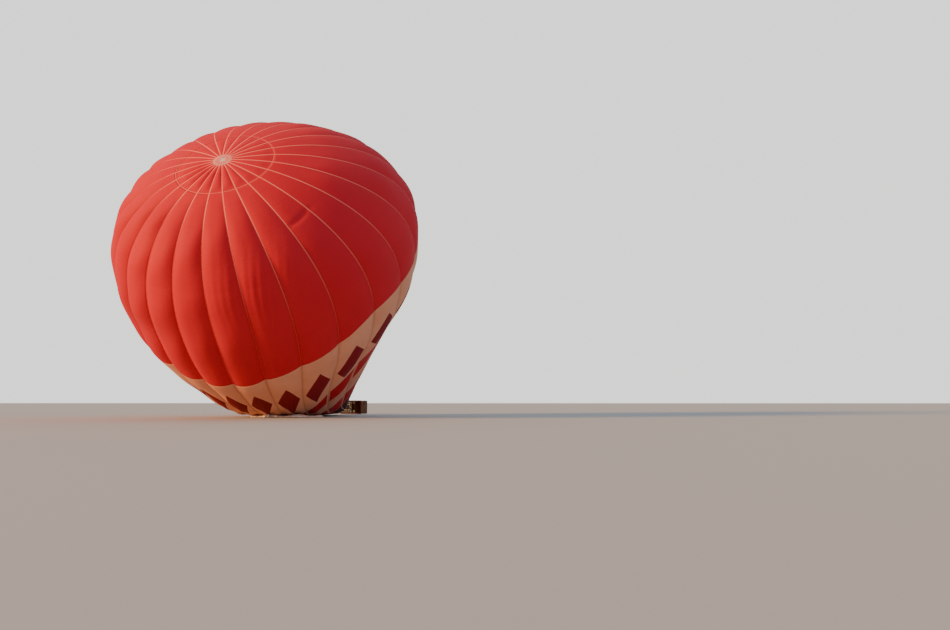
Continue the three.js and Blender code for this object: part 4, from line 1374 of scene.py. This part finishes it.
def coilPath(radius):
    b = burner
    around = np.linspace(0, 2 * pi * b["turns"], b["turns"] * b["perTurn"])
    level = b["low"] + b["tube"] + b["pitch"] * around / (2 * pi)
    return np.stack([radius * np.cos(around), radius * np.sin(around), level], -1)


def oneBurner():
    b = burner
    low, gap, base, can = b["low"], b["tube"], b["blockHigh"], b["canRadius"]
    outer, inner = coilPath(b["coilOuter"]), coilPath(b["coilInner"])[::-1]
    middle, half = (b["coilOuter"] + b["coilInner"]) / 2, (b["coilOuter"] - b["coilInner"]) / 2
    turnOver = [
        (middle + half * cos(a), half * sin(a) + 0.004, outer[-1][2]) for a in np.linspace(0, pi, 7)]
    far, near = b["feedDrops"]
    path = [
        (b["coilOuter"], 0, low - far), (b["coilOuter"], 0, low - near), *outer, *turnOver, *inner,
        (b["coilInner"], 0, low - near), (b["coilInner"] - b["outletBack"], 0, low - b["outletDrop"])]
    coils = [cappedRoll("coil", path, b["tube"], 8)]
    # tie bars hold the turns apart
    top = low + b["turns"] * b["pitch"] + b["tieTop"]
    for n in range(b["tieBars"]):
        a = n * 2 * pi / b["tieBars"] + b["tieTurn"]
        for radius in (b["coilInner"] - gap - 0.002, b["coilOuter"] + gap - 0.003):
            spot = (radius * cos(a), radius * sin(a))
            coils.append(rod("tie_bar", (*spot, low + b["tieRadius"]), (*spot, top), b["tieRadius"], 6))
    jets = [
        turnedShell("can", [
            (0.06, base - 0.001), (can - 0.008, base + 0.004), (can, base + 0.012), (can, low + 0.012),
            (can - 0.002, low + 0.012), (can - 0.002, base + 0.014), (0.06, base + 0.002)], 48),
        turnedShell("jet_ring", [
            (b["jetRing"] + out, low + up)
            for out, up in ((-0.009, -0.02), (0.009, -0.02), (0.009, -0.004), (-0.009, -0.004))], 48),
    ]
    for n in range(b["jets"]):
        a = 2 * pi * n / b["jets"]
        spot = (b["jetRing"] * cos(a), b["jetRing"] * sin(a), low - 0.004)
        jets.append(turnedPiece("jet", b["jet"], 8, spot))
    for a in (0, 2 * pi / 3, 4 * pi / 3):
        spoke = (b["jetRing"] * cos(a), b["jetRing"] * sin(a), low - 0.012)
        jets.append(rod("jet_spoke", (0, 0, low - 0.03), spoke, 0.006, 10))
    jets.append(turnedPiece("pilot_hub", [
        (0, base - 0.005), (0.03, base - 0.005), (0.03, low - 0.045), (0.022, low - 0.035),
        (0.022, low + 0.02), (0.018, low + 0.02), (0.018, low - 0.01), (0, low - 0.01)], 28))
    return joinAll(coils, "coils"), joinAll(jets, "jets")


def gaugePart(name, outline, segments, place):
    # a turned piece that faces down the basket
    piece = turnedPiece(name, outline, segments)
    piece.data.transform(Matrix.Translation(place) @ Matrix.Rotation(pi / 2, 4, "X"))
    return piece


def makeBurners(heated, steel, alloy, brass, face, red):
    b = burner
    for shape, name, material, nodes, sharp in zip(
            oneBurner(), ("burner_coil_pair", "burner_jet_rings"), (heated, steel),
            (["burner_pair"], []), (50, 40)):
        pair = [copyOf(shape, "one", (side * b["spread"], 0, 0)) for side in (-1, 1)]
        layDown(pair, name, material, nodes, sharp, "burners")
        bpy.data.objects.remove(shape)
    # valve block of one casting with ribs, arms out to the yoke, and its own fittings
    low, high, spread = b["blockLow"], b["blockHigh"], b["spread"]
    body = [
        block(name, (-spread - x, -y, bottom), (spread + x, y, top), rounding, segments)
        for name, x, y, bottom, top, rounding, segments in (
            ("valve_block", 0.06, 0.042, low + 0.012, high - 0.004, 0.012, 4),
            ("block_foot", 0.045, 0.054, low, low + 0.03, 0.006, 3),
            ("block_head", 0.059, 0.054, high - 0.022, high, 0.006, 3))
    ]
    (half, deep), (above, below) = b["ribHalf"], b["ribInset"]
    for x in np.linspace(-spread - b["ribReach"], spread + b["ribReach"], b["ribs"]):
        body.append(block(
            "rib", (x - half, -deep, low + above), (x + half, deep, high - below), 0.002, 2))
    near, far, level, thick = b["armPin"]
    fittings, levers, dials = [], [], []
    for side in (-1, 1):
        body.append(rollAlong("arm", [(0, side * y, z) for y, z in b["arm"]], b["armRadii"], 16))
        body.append(rod("arm_pin", (0, side * near, level), (0, side * far, level), thick, 20))
        x = side * spread
        foot, tip = (Vector((x, *spot)) for spot in b["lever"])
        path = [foot.lerp(tip, share) for share in b["leverShares"]]
        levers.append(cappedRoll("blast_lever", path, b["leverRadii"], 14))
        for name, out, start, end, radius, sides in b["sideFittings"]:
            spot = x + side * out
            fittings.append(rod(name, (spot, *start), (spot, *end), radius, sides))
        x -= side * b["gaugeIn"]
        fittings.append(gaugePart("gauge_case", b["gauge"], 28, (x, *b["gaugePlace"])))
        dials.append(gaugePart("gauge_face", b["dial"], 24, (x, *b["dialPlace"])))
    fittings.append(rod("cross_valve", *b["crossValve"]))
    levers.append(block("cross_lever", *b["crossLever"]))
    for parts, name, material, slot, sharp in (
            (body, "burner_valve_block", alloy, "steel", 35),
            (fittings, "burner_fittings", brass, "steel", 35),
            (levers, "burner_levers", red, "leather", 50),
            (dials, "burner_gauge_faces", face, "leather", 30)):
        layDown(parts, name, material, [], sharp, "burners")


# Flying wires: six steel cables fan out from a karabiner on each corner of the load frame
wires = dict(
    perCorner=6, radius=0.0034, spacing=0.016, steps=28, sides=6, short=0.004, hemIn=-0.005,
    karabiner=0.11, bar=0.0085, loopSides=10, sleeveMore=0.0025, sleeve=(10, 14), seat=0.0004,
    thimble=0.012, thimbleGap=0.25, eyeLength=0.03, crimp=(0.026, 0.05), crimpMore=0.0028,
    firstTapes=(
        ("high_left", -1, 1, 0), ("high_right", 1, 1, 6), ("low_right", 1, -1, 12),
        ("low_left", -1, -1, 18)),
)


def karabinerLoop():
    # a rounded loop with one narrow end, smoothed through its corners: (across, up) pairs
    w = wires
    wide, tall = w["perCorner"] / 2 * w["spacing"], w["karabiner"]
    loop = [
        (0.0, 0.0), (0.012, 0.001), (0.024, 0.012), (0.034, 0.045), (wide - 0.004, tall - 0.012),
        (wide - 0.006, tall - 0.001), (wide - 0.018, tall), (0.0, tall)]
    loop += [(-a, h) for a, h in loop[-2:0:-1]]
    smooth = []
    for i in range(len(loop)):
        a, b, c, d = (np.array(loop[(i + k) % len(loop)]) for k in (-1, 0, 1, 2))
        for t in (0, 0.25, 0.5, 0.75):
            bend = (2 * a - 5 * b + 4 * c - d) * t * t + (3 * b - a - 3 * c + d) * t ** 3
            smooth.append(0.5 * (2 * b + (c - a) * t + bend))
    return smooth


def cableParts(start, run, fan, end):
    # a stranded cable, its thimble round the karabiner's bar and the pressed sleeve that closes it
    w = wires
    first = start + run * w["eyeLength"]
    cable = cappedRoll(
        "cable", first + np.outer(np.linspace(0, 1, w["steps"]), end - first), w["radius"], w["sides"])
    across = unit(np.cross(fan, run)) * w["thimble"]
    path = [
        start - run * w["thimble"] * 0.9 * cos(a) + across * sin(a)
        for a in np.linspace(w["thimbleGap"], 2 * pi - w["thimbleGap"], 14)
    ]
    eye = cappedRoll("thimble", [first, *path, first], w["radius"], 6)
    low, high = w["crimp"]
    pressed = rod("sleeve", start + run * low, start + run * high, w["radius"] + w["crimpMore"], 10)
    return [cable, eye, pressed]


def makeWires(steel, alloy):
    w = wires
    up, r, count = np.array(basketUp), w["bar"], w["perCorner"]
    for name, x, y, first in w["firstTapes"]:
        eye = np.array(basketPose @ Vector((
            x * loadFrame["x"], y * loadFrame["y"], loadFrame["lugHigh"] + w["seat"])))
        turns = np.arange(first, first + count, dtype=float)
        hems = clothPoint(np.full(count, mouthEdge), turns, np.full(count, -1.0), w["hemIn"])
        fan = unit(hems[-1] - hems[0])
        path = [
            eye + up * r * 0.9 + fan * a + up * h * (1 - r / w["karabiner"]) for a, h in karabinerLoop()]
        start, end = (path[i] for i in w["sleeve"])
        parts = [
            rollAlong("karabiner_loop", path, r, w["loopSides"], closed=True),
            rod("screw_sleeve", start, end, r + w["sleeveMore"], 12)]
        dress(joinAll(parts, f"karabiner_{name}"), alloy, "root", sharp=40)
        cables = []
        for i, hem in enumerate(hems):
            start = eye + up * w["karabiner"] + fan * (i - (count - 1) / 2) * w["spacing"]
            run = unit(hem - start)
            cables += cableParts(start, run, fan, hem - run * w["short"])
        dress(joinAll(cables, f"flying_cables_{name}"), steel, "root", [f"flying_wires_{name}"], 60)


steel = brushedMetal("brushed stainless steel", ("#b9bbbc", "#cfd0d0"), 0.34)
# the load frame's steel is darker than the other stainless steel: painted shade, where the envelope shades
# the basket
shadedFrameSteel = brushedMetal("stainless steel tube in painted shade", ("#77797b", "#939596"), 0.46)
castAlloy = brushedMetal("tumbled cast aluminium", ("#7f8183", "#96989a"), 0.52)
brass = brushedMetal("turned brass", ("#b08a3e", "#c9a85a"), 0.35)
heated = brushedMetal("heat tinted steel tube", ("#7a6a58", "#5a5f78"), 0.42)
cable = brushedMetal("galvanised wire rope", ("#8d9092", "#a9abac"), 0.5)
redGrip = plainFinish("moulded red nylon grip", ("#9c1512", "#b01c16"), 0.5, 120.0, 0.0004)
whiteFace = plainFinish("white enamel dial", ("#e4e2da", "#dcdad0"), 0.35, 60.0, 0.0001)
blackKnob = plainFinish("black phenolic", ("#141416", "#1e1e20"), 0.4, 90.0, 0.0003)
makeCylinders(steel, brass, blackKnob, blackWebbing)
makeLoadFrame(shadedFrameSteel, castAlloy)
makeUprights(suede, thong)
makeYoke(steel)
makeBurners(heated, steel, castAlloy, brass, whiteFace, redGrip)
makeWires(cable, steel)
print("burners and rigging fitted")

# Pale floor and soft light: a low warm sun and a cooler sky, which the camera sees paler
stage = dict(
    floorSize=1600, floorDrop=0.02, keyStrength=5.4, keySoftness=radians(15), keyTurn=(73, 0, -58),
    keyColour="#ffbe78", skyStrength=0.84, skySeen=2.0,
)
bpy.ops.mesh.primitive_plane_add(size=stage["floorSize"], location=(0, 0, ground - stage["floorDrop"]))
floor = bpy.context.object
floor.name = "floor"
floor.data.materials.append(newMaterial("pale matt floor", Roughness=0.9, Base_Color="#b9b8b2")[0])
bpy.ops.object.light_add(type="SUN", rotation=[radians(a) for a in stage["keyTurn"]])
key = bpy.context.object.data
key.energy = stage["keyStrength"]
key.angle = stage["keySoftness"]
key.color = linear(stage["keyColour"])[:3]
world = bpy.data.worlds.new("soft sky")
bpy.context.scene.world = world
world.use_nodes = True
seen = addNode(world.node_tree, "ShaderNodeLightPath").outputs["Is Camera Ray"]
setInputs(world.node_tree.nodes["Background"], {
    "Color": addNode(world.node_tree, "ShaderNodeMix", {
        "Factor": seen, "A": "#d2dae8", "B": "#dddedb"}, data_type="RGBA"),
    "Strength": addNode(world.node_tree, "ShaderNodeMapRange", {
        "Value": seen, "To Min": stage["skyStrength"], "To Max": stage["skySeen"]})})
print("stage lit")
